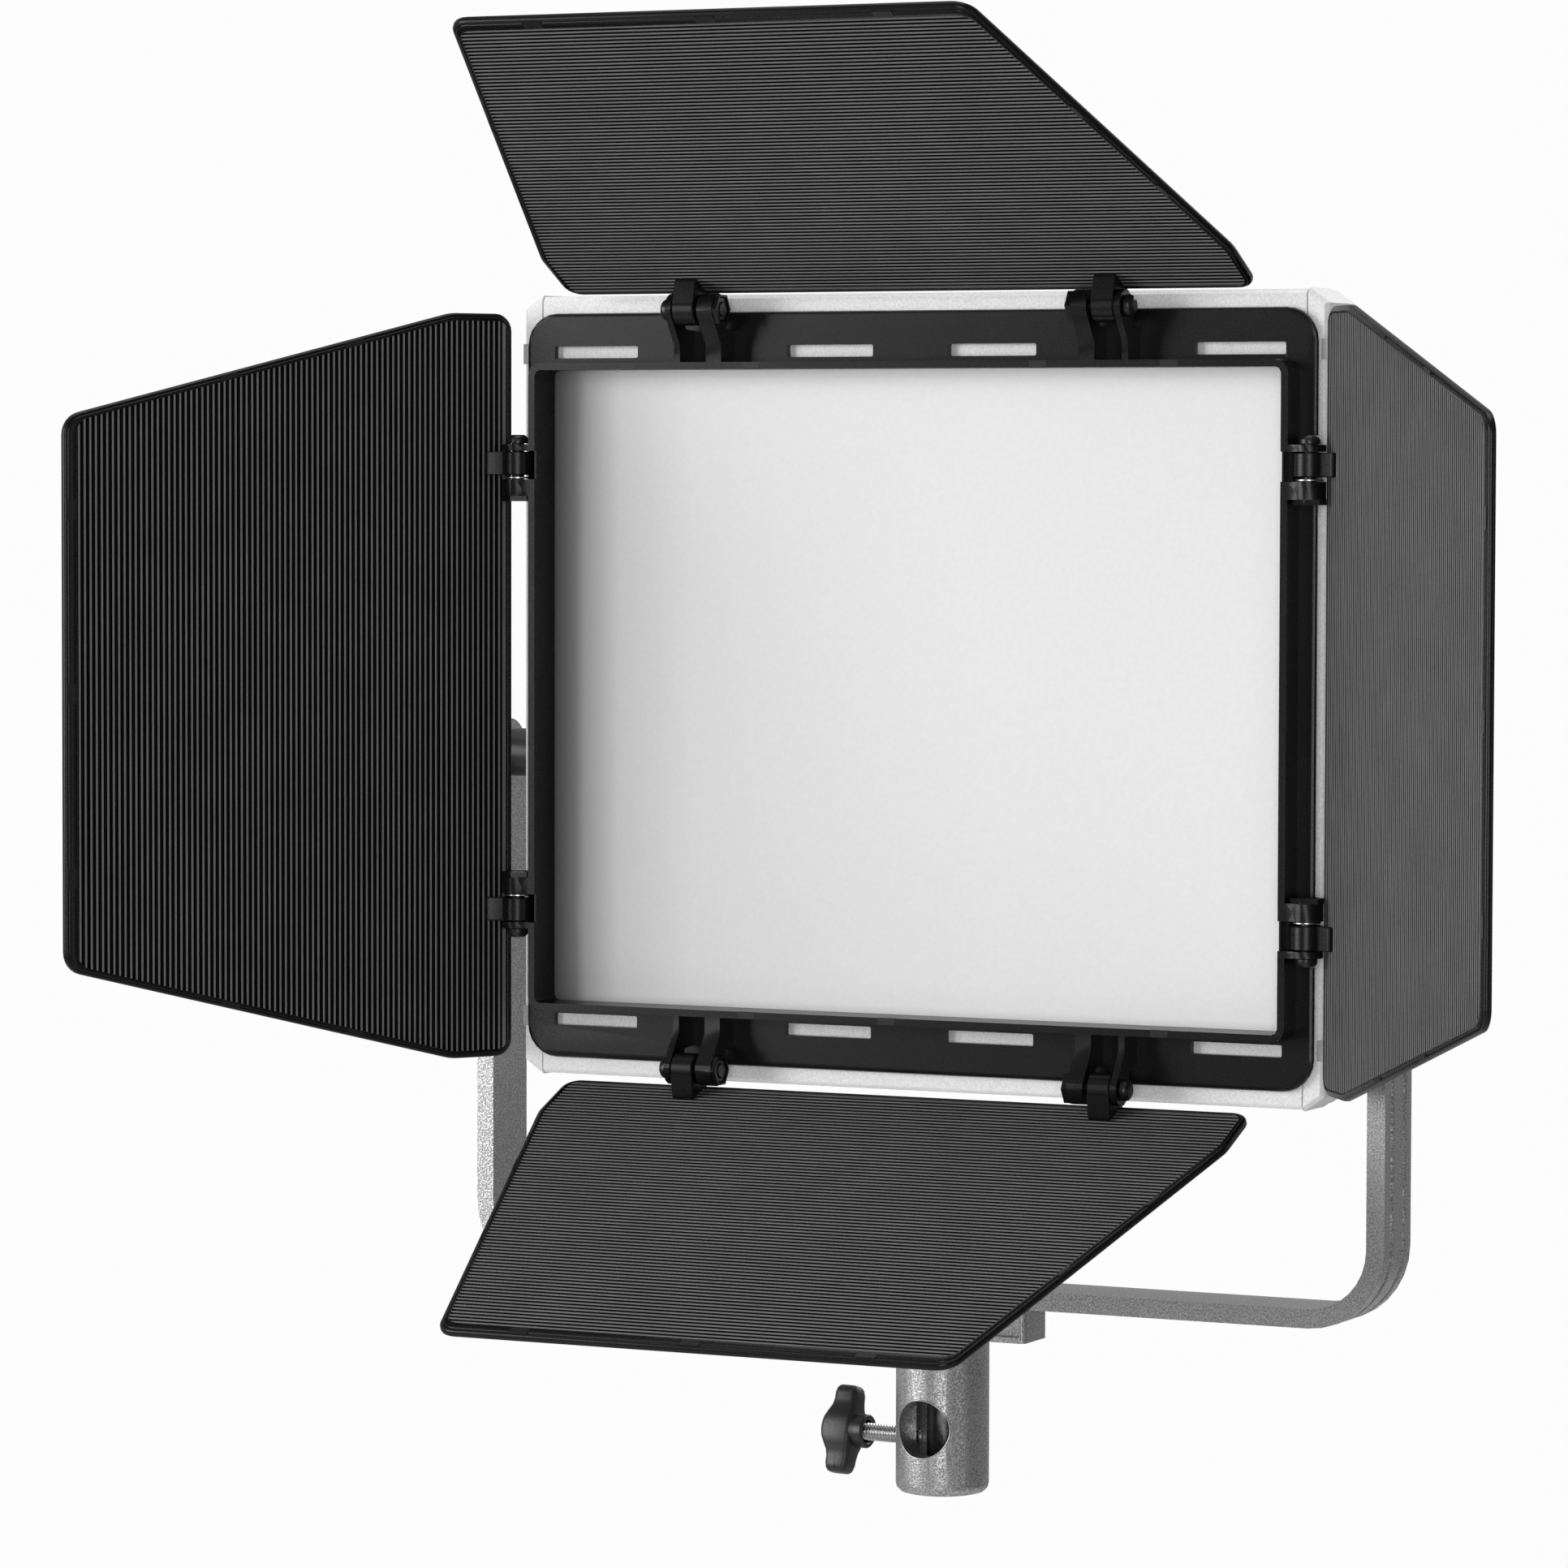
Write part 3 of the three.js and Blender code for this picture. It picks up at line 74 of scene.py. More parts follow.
# A point on each leaf's hinge axis.
HINGE_AXES = {
    "top": (0, -1.7, 115.9),
    "bottom": (0, -1.7, -115.9),
    "left": (-131, 3.7, 0),
    "right": (131, 3.7, 0),
}
# Each leaf's design, the axis it turns about, its opening at rest and its roll, in degrees.
LEAVES = {
    "top": (TOP_LEAF, "X", -28.7, 0),
    "bottom": (TOP_LEAF, "X", 22.4, 180),
    "left": (SIDE_LEAF, "Z", -31.3, -90),
    "right": (SIDE_LEAF, "Z", 37.3, 90),
}
TONGUE, TONGUE_EDGE = (65.5, 72.7), 0.35
BARREL_RADIUS, BARREL_BORE = 4.9, 2.2
SOCKET_RADIUS, SOCKET_TURN = 14.4, -4.5
WINDOW_Z, WINDOW_RADIUS = -225.5, 8.95
LOCK_Z = -230.0
LOCK_SCREW_ENDS = (-31.0, -8.4)
HANDLE_TURN = -17
# The socket is turned a little about its own axis, with its window and lock screw.
SOCKET = TO_ROW @ Matrix.Translation((0, SOCKET_Y, 0)) @ Matrix.Rotation(math.radians(SOCKET_TURN), 4, "Z")

# The camera stands in front and to the right; metres and degrees.
CAMERA_PLACE = (0.80084, -1.76, 0.31441)
CAMERA_YAW, CAMERA_PITCH, CAMERA_ROLL = 25.925, -2.867, 0.139
CAMERA_LENS = 145.25

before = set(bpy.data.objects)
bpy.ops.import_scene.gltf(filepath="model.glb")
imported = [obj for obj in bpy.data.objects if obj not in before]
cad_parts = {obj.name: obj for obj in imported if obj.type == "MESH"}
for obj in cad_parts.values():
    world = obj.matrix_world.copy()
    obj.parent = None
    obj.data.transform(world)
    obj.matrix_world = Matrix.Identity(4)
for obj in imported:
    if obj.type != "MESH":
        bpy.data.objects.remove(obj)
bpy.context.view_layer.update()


# ---------------------------------------------------------------- node materials

# The two colour sockets of a Mix node set to RGBA, and its colour output.
MIX_A, MIX_B, MIX_RESULT = 6, 7, 2
# How much darker a finish's fine specks are, how far its gloss varies, and its grain's depth in metres.
SPECK, GLOSS_SPREAD, GRAIN_DEPTH = 0.82, 0.07, 0.0001


def rgba(value):
    """A grey value or a colour, as four numbers."""
    return (*value, 1) if isinstance(value, tuple) else (value, value, value, 1)


class Nodes:
    """A material's node tree, with short calls to add and link nodes."""

    def __init__(self, name):
        self.material = bpy.data.materials.new(name)
        self.material.use_nodes = True
        self.tree = self.material.node_tree
        self.shader = self.tree.nodes["Principled BSDF"]
        coords = self.tree.nodes.new("ShaderNodeTexCoord")
        self.place = coords.outputs["Object"]

    def add(self, kind, **values):
        node = self.tree.nodes.new(kind)
        for key, value in values.items():
            if key in node.inputs:
                node.inputs[key].default_value = value
            else:
                setattr(node, key, value)
        return node

    def link(self, source, target):
        self.tree.links.new(source, target)

    def noise(self, scale, detail=3.0, roughness=0.6):
        node = self.add("ShaderNodeTexNoise", Scale=scale, Detail=detail, Roughness=roughness)
        self.link(self.place, node.inputs["Vector"])
        return node.outputs["Fac"]

    def ramp(self, source, stops):
        node = self.add("ShaderNodeValToRGB")
        elements = node.color_ramp.elements
        while len(elements) < len(stops):
            elements.new(0.5)
        for element, (position, value) in zip(elements, stops):
            element.position = position
            element.color = rgba(value)
        self.link(source, node.inputs["Fac"])
        return node.outputs["Color"]

    def multiply(self, a, b):
        node = self.add("ShaderNodeMix", data_type="RGBA", blend_type="MULTIPLY")
        node.inputs[0].default_value = 1.0
        self.link(a, node.inputs[MIX_A])
        self.link(b, node.inputs[MIX_B])
        return node.outputs[MIX_RESULT]

    def bump(self, height, strength, distance):
        node = self.add("ShaderNodeBump", Strength=strength, Distance=distance)
        self.link(height, node.inputs["Height"])
        self.link(node.outputs["Normal"], self.shader.inputs["Normal"])


def surface(
    name, low, high, roughness, grain=1500, bump=0.15, metallic=0.0, specular=0.5, blotch=25
):
    """A finish whose colour drifts between two values, with fine grain in its gloss and relief."""
    n = Nodes(name)
    n.shader.inputs["Metallic"].default_value = metallic
    n.shader.inputs["Specular IOR Level"].default_value = specular
    fine = n.noise(grain)
    broad = n.noise(blotch, detail=2)
    drift = n.ramp(broad, [(0.3, low), (0.7, high)])
    speck = n.ramp(fine, [(0.35, SPECK), (0.65, 1.0)])
    n.link(n.multiply(drift, speck), n.shader.inputs["Base Color"])
    gloss = n.ramp(fine, [(0.3, roughness - GLOSS_SPREAD), (0.7, roughness + GLOSS_SPREAD)])
    n.link(gloss, n.shader.inputs["Roughness"])
    n.bump(fine, bump, GRAIN_DEPTH)
    return n.material


def hammered(name, low, mid, high, roughness):
    """Silver paint with a fine, crisp metallic grain."""
    n = Nodes(name)
    n.shader.inputs["Metallic"].default_value = 0.8
    grain = n.noise(1900, detail=2.0, roughness=0.5)
    colour = n.ramp(grain, [(0.4, low), (0.5, mid), (0.6, high)])
    gloss = n.ramp(grain, [(0.35, roughness + 0.12), (0.65, roughness - 0.08)])
    n.link(colour, n.shader.inputs["Base Color"])
    n.link(gloss, n.shader.inputs["Roughness"])
    n.bump(grain, 0.6, 0.00015)
    return n.material


def milky_sheet(name, low, high):
    """The diffusing sheet: white with a fine pebble, and painted shade that darkens it steeply towards its
    low-X edge and a little towards its high-X edge.
    """
    n = Nodes(name)
    pebble = n.noise(700, detail=2.0)
    n.link(n.ramp(pebble, [(0.3, 0.5), (0.7, 0.68)]), n.shader.inputs["Roughness"])
    n.bump(pebble, 0.22, 0.00015)
    split = n.add("ShaderNodeSeparateXYZ")
    n.link(n.place, split.inputs["Vector"])
    edge = n.add("ShaderNodeMapRange")
    edge.inputs["From Min"].default_value = low.x
    edge.inputs["From Max"].default_value = high.x
    n.link(split.outputs["X"], edge.inputs["Value"])
    # Painted shade: the collar wall's shadow over the sheet's left edge, as a ramp along X.
    shade = n.ramp(
        edge.outputs["Result"],
        [(0.004, 0.05), (0.025, 0.2), (0.055, 0.44), (0.1, 0.78), (0.2, 0.9), (0.93, 0.92), (0.985, 0.9)],
    )
    tint = n.ramp(pebble, [(0.3, 0.965), (0.7, 1.0)])
    n.link(n.multiply(shade, tint), n.shader.inputs["Base Color"])
    return n.material


BLACK = surface("black_moulding", 0.004, 0.008, 0.3, grain=2600, bump=0.10, specular=0.25)
BLACK_EDGE = surface("black_rim", 0.003, 0.006, 0.28, grain=2600, bump=0.06, specular=0.25)
BLACK_TAB = surface("grey_tab", 0.01, 0.014, 0.4, grain=2600, bump=0.08, specular=0.3)
# Painted shade in the leaves' rib grooves and a painted highlight on the rib crests: one black plastic
# coloured darker and lighter.
GROOVE_PAINTED_SHADE = surface("leaf_groove_painted_shade", 0.001, 0.002, 0.6, grain=2400, bump=0.10, specular=0.08)
CREST_PAINTED_HIGHLIGHT = surface("leaf_crest_painted_highlight", 0.16, 0.19, 0.5, grain=1900, bump=0.35, specular=0.3, blotch=60)
LEAF_BACK = surface("leaf_back", 0.018, 0.026, 0.55, grain=1800, bump=0.3)
WHITE = surface("white_coat", 0.88, 0.92, 0.38, grain=1300, bump=0.04)
# White guides coloured light grey: painted shade.
WHITE_TAB_PAINTED_SHADE = surface("white_tab_painted_shade", 0.42, 0.48, 0.45)
SILVER = hammered("hammered_silver", 0.27, 0.4, 0.58, 0.36)
BORE = surface("bored_metal", 0.1, 0.14, 0.22, grain=600, bump=0.03, metallic=1.0)
STEEL = surface("zinc_steel", 0.55, 0.7, 0.25, grain=900, bump=0.02, metallic=1.0)
DARK_STEEL = surface("black_oxide", 0.03, 0.045, 0.33, grain=1500, bump=0.1, metallic=0.7)
WASHER = surface("bright_washer", 0.5, 0.62, 0.3, grain=1200, bump=0.08, metallic=1.0)
# Painted shade for the screws' hexagon sockets and the handle hub's recess.
RECESS_PAINTED_SHADE = surface("painted_recess_shade", 0.004, 0.006, 0.6)
KNOB = surface("knob_black", 0.012, 0.018, 0.38, grain=1700, bump=0.12)
GLASS = surface("display_glass", 0.006, 0.009, 0.1, grain=300, bump=0.01)
BOARD = surface("board_white", 0.7, 0.76, 0.3)
GREEN = surface("board_green", (0.01, 0.07, 0.03), (0.015, 0.1, 0.04), 0.35)
ALUMINIUM = surface("bare_aluminium", 0.5, 0.62, 0.35, grain=800, bump=0.08, metallic=0.9)
MARK = surface("printed_white", 0.6, 0.66, 0.5)

# ---------------------------------------------------------------- mesh helpers

PIECE_SEGMENTS = 3


def piece(name, verts, faces, material, body, matrix=TO_ROW, slot=None, angle=32, bevel=0.0):
    """A mesh piece given in millimetres, placed by matrix and riding on a body."""
    data = bpy.data.meshes.new(name)
    data.from_pydata([matrix @ Vector(v) for v in verts], [], faces)
    data.validate()
    materials = material if isinstance(material, list) else [material]
    for m in materials:
        data.materials.append(m)
    obj = bpy.data.objects.new(name, data)
    bpy.context.collection.objects.link(obj)
    data.shade_smooth()
    if bevel:
        soften(obj, bevel, PIECE_SEGMENTS, angle)
    else:
        data.set_sharp_from_angle(angle=math.radians(angle))
    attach(obj, body)
    return obj


def soften(obj, width, segments, angle):
    """Rounds an object's edges by modifiers only."""
    weld = obj.modifiers.new("weld", "WELD")
    weld.merge_threshold = 1e-6
    bevel = obj.modifiers.new("bevel", "BEVEL")
    bevel.width = width * MM
    bevel.segments = segments
    bevel.limit_method = "ANGLE"
    bevel.angle_limit = math.radians(angle)
    bevel.miter_outer = "MITER_ARC"
    normals = obj.modifiers.new("normals", "WEIGHTED_NORMAL")
    normals.keep_sharp = False
    normals.weight = 80


def dress(node, material, width, segments=2, angle=32):
    """A CAD node as it is, with a node material and softened edges."""
    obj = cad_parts[node]
    data = obj.data
    data.materials.clear()
    data.materials.append(material)
    custom = data.attributes.get("custom_normal")
    if custom:
        data.attributes.remove(custom)
    data.shade_smooth()
    soften(obj, width, segments, angle)


def loft(rings, closed=False, caps=True):
    """Vertices and faces through rings of equal length; closed joins the last ring to the first."""
    size = len(rings[0])
    verts = [p for ring in rings for p in ring]
    faces = []
    last = len(rings) if closed else len(rings) - 1
    for i in range(last):
        a, b = i * size, (i + 1) % len(rings) * size
        for k in range(size):
            faces.append((a + k, a + (k + 1) % size, b + (k + 1) % size, b + k))
    if caps and not closed:
        faces.append(tuple(range(size))[::-1])
        faces.append(tuple((len(rings) - 1) * size + k for k in range(size)))
    return verts, faces


def turned(profile, steps=32):
    """A turned shape about the X axis from (radius, x) points."""
    angles = [2 * math.pi * k / steps for k in range(steps)]
    return loft([[(x, radius * math.cos(a), radius * math.sin(a)) for a in angles] for radius, x in profile])


def prism(outline, low, high, axis):
    """A flat outline run from low to high along an axis.

    The outline is in (y, z) for "X", in (x, z) for "Y" and in (x, y) for "Z".
    """

    def at(a, b, c):
        return {"X": (c, a, b), "Y": (a, c, b), "Z": (a, b, c)}[axis]

    return loft([[at(a, b, low) for a, b in outline], [at(a, b, high) for a, b in outline]])


def block(x0, x1, y0, y1, z0, z1):
    return prism([(x0, y0), (x1, y0), (x1, y1), (x0, y1)], z0, z1, "Z")


def hexagon(radius):
    angles = [math.radians(60 * k) for k in range(6)]
    return [(radius * math.cos(a), radius * math.sin(a)) for a in angles]


def rounded(points, radii, steps=6):
    """A convex outline with each corner rounded to its own radius."""
    out = []
    for i, point in enumerate(points):
        corner = Vector(point)
        before = (Vector(points[i - 1]) - corner).normalized()
        after = (Vector(points[(i + 1) % len(points)]) - corner).normalized()
        half = before.angle(after) / 2
        reach = radii[i] / math.tan(half)
        centre = corner + (before + after).normalized() * (radii[i] / math.sin(half))
        start = corner + before * reach - centre
        end = corner + after * reach - centre
        turn = start.angle_signed(end)
        for k in range(steps + 1):
            spin = Matrix.Rotation(-turn * k / steps, 2)
            out.append(tuple(centre + spin @ start))
    return out


# ---------------------------------------------------------------- leaves


# The radius of the knee where a leaf's sides start to slope.
KNEE_RADIUS = 18
# The border's section: a share of the band's width, a distance further in, and a depth.
BORDER_SECTION = [
    (1.0, 0.0, 1.0),
    (1.0, 0.0, 0.25),
    (1.0, -0.2, 0.05),
    (1.0, -0.45, 0.0),
    (0.0, 1.45, 0.0),
    (0.0, 1.30, 0.06),
    (0.0, 1.22, 0.30),
    (0.0, 0.95, 0.34),
    (0.0, 0.55, 0.42),
    (0.0, 0.24, 0.66),
    (0.0, 0.06, 1.0),
    (0.0, 0.0, 1.4),
    (0.0, 0.0, 2.1),
    (0.0, 0.15, 2.42),
    (0.0, 0.5, 2.6),
    (1.0, 2.3, 2.6),
    (1.0, 2.5, 2.45),
    (1.0, 2.5, 1.7),
]
# The ribbed sheet laps this far under the border. Depths of its crests, floors and back.
SHEET_LAP = 0.3
CREST_DEPTH, FLOOR_DEPTH, BACK_DEPTH = 0.22, 0.92, 1.9
SHOULDER_DEPTH = CREST_DEPTH + 0.16
# A rib's section: a distance from its middle in pitches, a depth, and whether the crest's painted highlight
# starts.
RIB_SECTION = (
    (-0.27, FLOOR_DEPTH, 0),
    (-0.19, SHOULDER_DEPTH, 1),
    (-0.13, CREST_DEPTH, 1),
    (0.13, CREST_DEPTH, 1),
    (0.19, SHOULDER_DEPTH, 0),
    (0.27, FLOOR_DEPTH, 0),
)


def leaf_outline(design, side, hinge, outer, hinge_radius, outer_radius, steps=6):
    """The leaf's outline as (v, u) points, moved in from each edge by its own distance."""
    slope = (design["half"] - design["outer"]) / (LEAF_LENGTH - LEAF_PARALLEL)
    shift = side * math.sqrt(1 + slope * slope)
    half = design["half"] - side
    knee = LEAF_PARALLEL + (side - shift) / slope
    end_half = design["outer"] - shift + slope * outer
    end = LEAF_LENGTH - outer
    points = [(-half, hinge), (half, hinge), (half, knee), (end_half, end), (-end_half, end), (-half, knee)]
    radii = [hinge_radius, hinge_radius, KNEE_RADIUS, outer_radius, outer_radius, KNEE_RADIUS]
    return rounded(points, radii, steps)


def half_width(outline, u):
    """The outline's half width at u."""
    best = 0.0
    for (v0, u0), (v1, u1) in zip(outline, outline[1:] + outline[:1]):
        if u0 != u1 and min(u0, u1) - 1e-6 <= u <= max(u0, u1) + 1e-6:
            best = max(best, v0 + (v1 - v0) * (u - u0) / (u1 - u0))
    return best


def leaf_matrix(name):
    _, axis, degrees, roll = LEAVES[name]
    turn = Matrix.Rotation(math.radians(degrees), 4, axis)
    face = Matrix.Rotation(math.radians(roll), 4, "Y")
    return TO_ROW @ Matrix.Translation(HINGE_AXES[name]) @ turn @ face


def leaf_point(design, v, u, n):
    return (v, design["behind"] - u, design["offset"] + n)


def leaf_piece(leaf, title, verts, faces, material, slot="barndoor_black", **looks):
    """A piece in a leaf's own frame, riding on that leaf."""
    return piece(title, verts, faces, material, leaf + "_leaf", leaf_matrix(leaf), slot, **looks)


def leaf_border(name):
    """The moulded border: a lip with a step, rounded edges and a shallow recess behind."""
    design = LEAVES[name][0]
    rings = []
    for share, extra, depth in BORDER_SECTION:
        side = share * BAND_SIDE + extra
        hinge = share * BAND_HINGE + extra
        outer = share * BAND_OUTER + extra
        outline = leaf_outline(design, side, hinge, outer, max(5.5 - side, 0.8), max(7 - side, 1.0))
        rings.append([leaf_point(design, v, u, depth) for v, u in outline])
    verts, faces = loft(rings, closed=True)
    return leaf_piece(name, name + "_leaf_border", verts, faces, BLACK_EDGE, angle=50)


def rib_rows():
    """The ribbed sheet's rows from the hinge outwards: a distance, a depth, and where a crest's painted
    highlight starts.
    """
    start = BAND_HINGE - SHEET_LAP
    end = LEAF_LENGTH - BAND_OUTER + SHEET_LAP
    first_end = FIRST_RIB + 0.62 * RIB_PITCH
    rows = [(start, FLOOR_DEPTH, 0), (FIRST_RIB - 0.3, FLOOR_DEPTH, 1), (FIRST_RIB - 0.1, CREST_DEPTH, 1)]
    rows += [(first_end, CREST_DEPTH, 0), (first_end + 0.2, FLOOR_DEPTH, 0)]
    for i in range(1, RIBS):
        centre = FIRST_RIB + 0.33 + i * RIB_PITCH
        for offset, depth, top in RIB_SECTION:
            u = centre + offset * RIB_PITCH
            if u < end - 0.6:
                rows.append((u, depth, top))
    return rows + [(end - 0.45, FLOOR_DEPTH, 0), (end, FLOOR_DEPTH, 0)]


def leaf_ribs(name):
    """The ribbed sheet: every rib is real relief, with a painted highlight on the crests and painted shade
    in the grooves.
    """
    design = LEAVES[name][0]
    insets = (BAND_SIDE - SHEET_LAP, BAND_HINGE - SHEET_LAP, BAND_OUTER - SHEET_LAP)
    outline = leaf_outline(design, *insets, 3.4, 4.4, 10)
    rows = rib_rows()
    verts, faces, looks = [], [], []
    for u, depth, _ in rows:
        width = half_width(outline, u)
        for v, n in ((-width, depth), (width, depth), (width, BACK_DEPTH), (-width, BACK_DEPTH)):
            verts.append(leaf_point(design, v, u, n))
    # Slots of the sheet's materials: groove with painted shade, crest with painted highlight, back.
    for i in range(len(rows) - 1):
        a, b = 4 * i, 4 * i + 4
        for k in range(4):
            faces.append((a + k, a + (k + 1) % 4, b + (k + 1) % 4, b + k))
            looks.append((rows[i][2], 0, 2, 0)[k])
    faces += [(0, 1, 2, 3), tuple(4 * (len(rows) - 1) + k for k in (3, 2, 1, 0))]
    looks += [1, 0]
    groove_shade_crest_highlight_back = [GROOVE_PAINTED_SHADE, CREST_PAINTED_HIGHLIGHT, LEAF_BACK]
    obj = leaf_piece(name, name + "_leaf_ribs", verts, faces, groove_shade_crest_highlight_back, "ribbed_leaf", angle=40)
    for polygon, look in zip(obj.data.polygons, looks):
        polygon.material_index = look
    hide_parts(name + "_leaf_panel")


def leaf_tongues(name):
    """The two hinge tongues of a leaf: a barrel and a pad that laps the leaf's inner face."""
    design = LEAVES[name][0]
    offset, behind = design["offset"], design["behind"]
    back = offset - 2.2
    pad = [
        (behind, back),
        (behind, offset + 1.2),
        (behind - 1.9, offset + 1.2),
        (behind - 1.9, offset + 0.15),
        (behind - 10, offset + 0.15),
        (behind - 10, back + 1.0),
        design["tongue_front"],
        (0, 0),
        (BARREL_RADIUS * 0.72, BARREL_RADIUS * 0.62),
    ]
    for sign, tag in ((-1, "a"), (1, "b")):
        low, high = sorted((sign * TONGUE[0], sign * TONGUE[1]))
        verts, faces = prism(pad, low, high, "X")
        title = f"{name}_leaf_tongue_{tag}"
        leaf_piece(name, title, verts, faces, BLACK, bevel=TONGUE_EDGE)
        edge = BARREL_RADIUS - TONGUE_EDGE
        barrel = [(BARREL_BORE, low), (edge, low), (BARREL_RADIUS, low + TONGUE_EDGE)]
        barrel += [(BARREL_RADIUS, high - TONGUE_EDGE), (edge, high), (BARREL_BORE, high)]
        verts, faces = turned(barrel, 40)
        leaf_piece(name, title + "_barrel", verts, faces, BLACK)


def leaf_clips(name):
    """The small flush clip marks on the border, at each side and along the outer edge."""
    design = LEAVES[name][0]
    low, high = LEAF_LENGTH - 3.6, LEAF_LENGTH - 0.8
    spots = [[(v - 3, low), (v + 3, low), (v + 3, high), (v - 3, high)] for v in (-55, 0, 55)]
    outer = leaf_outline(design, 0.7, 0.7, 0.7, 5, 6)
    inner = leaf_outline(design, 1.9, 1.9, 1.9, 5, 6)
    for u in (53, 96):
        corners = ((inner, u), (outer, u), (outer, u + 6), (inner, u + 6))
        spots += [[(sign * half_width(edge, at), at) for edge, at in corners] for sign in (-1, 1)]
    for i, spot in enumerate(spots):
        verts, faces = loft([[leaf_point(design, v, u, n) for v, u in spot] for n in (-0.04, 0.5)])
        leaf_piece(name, f"{name}_leaf_clip_{i}", verts, faces, BLACK_TAB)


for leaf in LEAVES:
    border = leaf_border(leaf)
    leaf_ribs(leaf)
    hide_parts(leaf + "_leaf_frame")
    leaf_tongues(leaf)
    leaf_clips(leaf)

# ---------------------------------------------------------------- hinge hardware

# The turn about Y that points each hinge's pin outwards from the middle of its leaf.
HINGES = {
    "top_left": 180,
    "top_right": 0,
    "bottom_left": 180,
    "bottom_right": 0,
    "left_upper": -90,
    "left_lower": 90,
    "right_upper": -90,
    "right_lower": 90,
}
# Turned profiles along the hinge's axis, as (radius, distance from the leaf's middle).
SCREW_SHANK = [(1.95, 57.6), (1.95, 75.25)]
SCREW_HEAD = [(3.1, 75.25), (3.25, 75.4), (3.25, 76.5), (3.0, 77.1), (2.5, 77.6), (1.9, 77.9)]
SIDE_WASHER = [(2.1, 64.4), (4.1, 64.4), (4.2, 64.5), (4.2, 64.85), (4.1, 64.95), (2.1, 64.95)]


def hinge_hardware(name):
    """A pan-head screw with a hexagon socket drawn as a dark flush disc of painted shade, its nut, and at
    the side leaves a thin washer.
    """
    leaf, _ = name.split("_")
    turn = Matrix.Rotation(math.radians(HINGES[name]), 4, "Y")
    place = TO_ROW @ Matrix.Translation(HINGE_AXES[leaf]) @ turn
    verts, faces = turned(SCREW_SHANK + SCREW_HEAD)
    screw = piece("hinge_pin_" + name, verts, faces, DARK_STEEL, "barndoors", place, "black_screw")
    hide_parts("hinge_screw_" + name)
    verts, faces = prism(hexagon(1.75), 77.0, 77.93, "X")
    piece("hinge_socket_" + name, verts, faces, RECESS_PAINTED_SHADE, "barndoors", place, "black_screw")
    if leaf in ("left", "right"):
        verts, faces = turned(SIDE_WASHER, 36)
        piece("hinge_washer_" + name, verts, faces, WASHER, "barndoors", place, "steel")
    dress("hinge_nut_" + name, DARK_STEEL, 0.25)


for hinge in HINGES:
    hinge_hardware(hinge)

# ---------------------------------------------------------------- barn-door frame

dress("barndoor_frame", BLACK, 0.4, 2, 40)


# The rim inserts: a place along X, and 1 for the top rim or -1 for the bottom one.
RIM_TABS = [(-91, 1), (-49, 1), (46, 1), (88, 1), (-50, -1), (-3, -1), (86, -1)]
RIM_BAND = (97.75, 100.05)


def rim_tabs():
    """Small flush inserts on the collar's rim."""
    for i, (x, side) in enumerate(RIM_TABS):
        z0, z1 = sorted(side * z for z in RIM_BAND)
        verts, faces = block(x - 2.8, x + 2.8, -0.06, 2.4, z0, z1)
        piece(f"rim_tab_{i}", verts, faces, BLACK_TAB, "barndoors", slot="barndoor_black", bevel=0.1)


rim_tabs()

# ---------------------------------------------------------------- casing and light engine

for node in ("casing_top_rail", "casing_bottom_rail", "casing_left_cap", "casing_right_cap", "rear_cover"):
    dress(node, WHITE, 0.45)
# The diffuser's material holds painted shade along its left edge.
low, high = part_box("diffuser_panel")
dress("diffuser_panel", milky_sheet("milky_sheet", low, high), 0.2)
dress("led_board", BOARD, 0.1)
dress("heat_sink", ALUMINIUM, 0.15)
dress("driver_board", GREEN, 0.1)
dress("control_panel", KNOB, 0.35)
dress("display_window", GLASS, 0.1)
dress("dimmer_knob", KNOB, 0.3)
dress("colour_knob", KNOB, 0.3)
dress("mode_button", KNOB, 0.4)
dress("power_switch", GLASS, 0.4)
dress("power_inlet", DARK_STEEL, 0.2)


def side_guides():
    """Guides at the casing's front corners, beside the flange: white parts coloured light grey as painted
    shade.
    """
    for sx in (-1, 1):
        for sz in (-1, 1):
            x0, x1 = sorted((sx * 131.2, sx * 133.5))
            z0, z1 = sorted((sz * 99.9, sz * 106.1))
            verts, faces = block(x0, x1, 11.8, 13.5, z0, z1)
            title = f"flange_guide_{'r' if sx > 0 else 'l'}{'u' if sz > 0 else 'd'}"
            piece(title, verts, faces, WHITE_TAB_PAINTED_SHADE, "head", slot="white_shell", bevel=0.15)


side_guides()


COVER_SCREWS = [(-126, 112), (0, 112), (126, 112), (-126, -112), (0, -112), (126, -112)]
COVER_SCREW_HEAD = [(0.01, 37.4), (3.0, 37.4), (3.2, 37.7), (3.2, 38.5), (2.6, 39.0), (0.01, 39.1)]
# Each dial's middle along X and their height; its ticks' count, start and spacing in degrees, and distance.
DIALS, DIAL_Z = (("dimmer", -97), ("colour", -67)), 8
TICKS, TICK_START, TICK_STEP, TICK_RADIUS = 11, 225, 27, 13.2


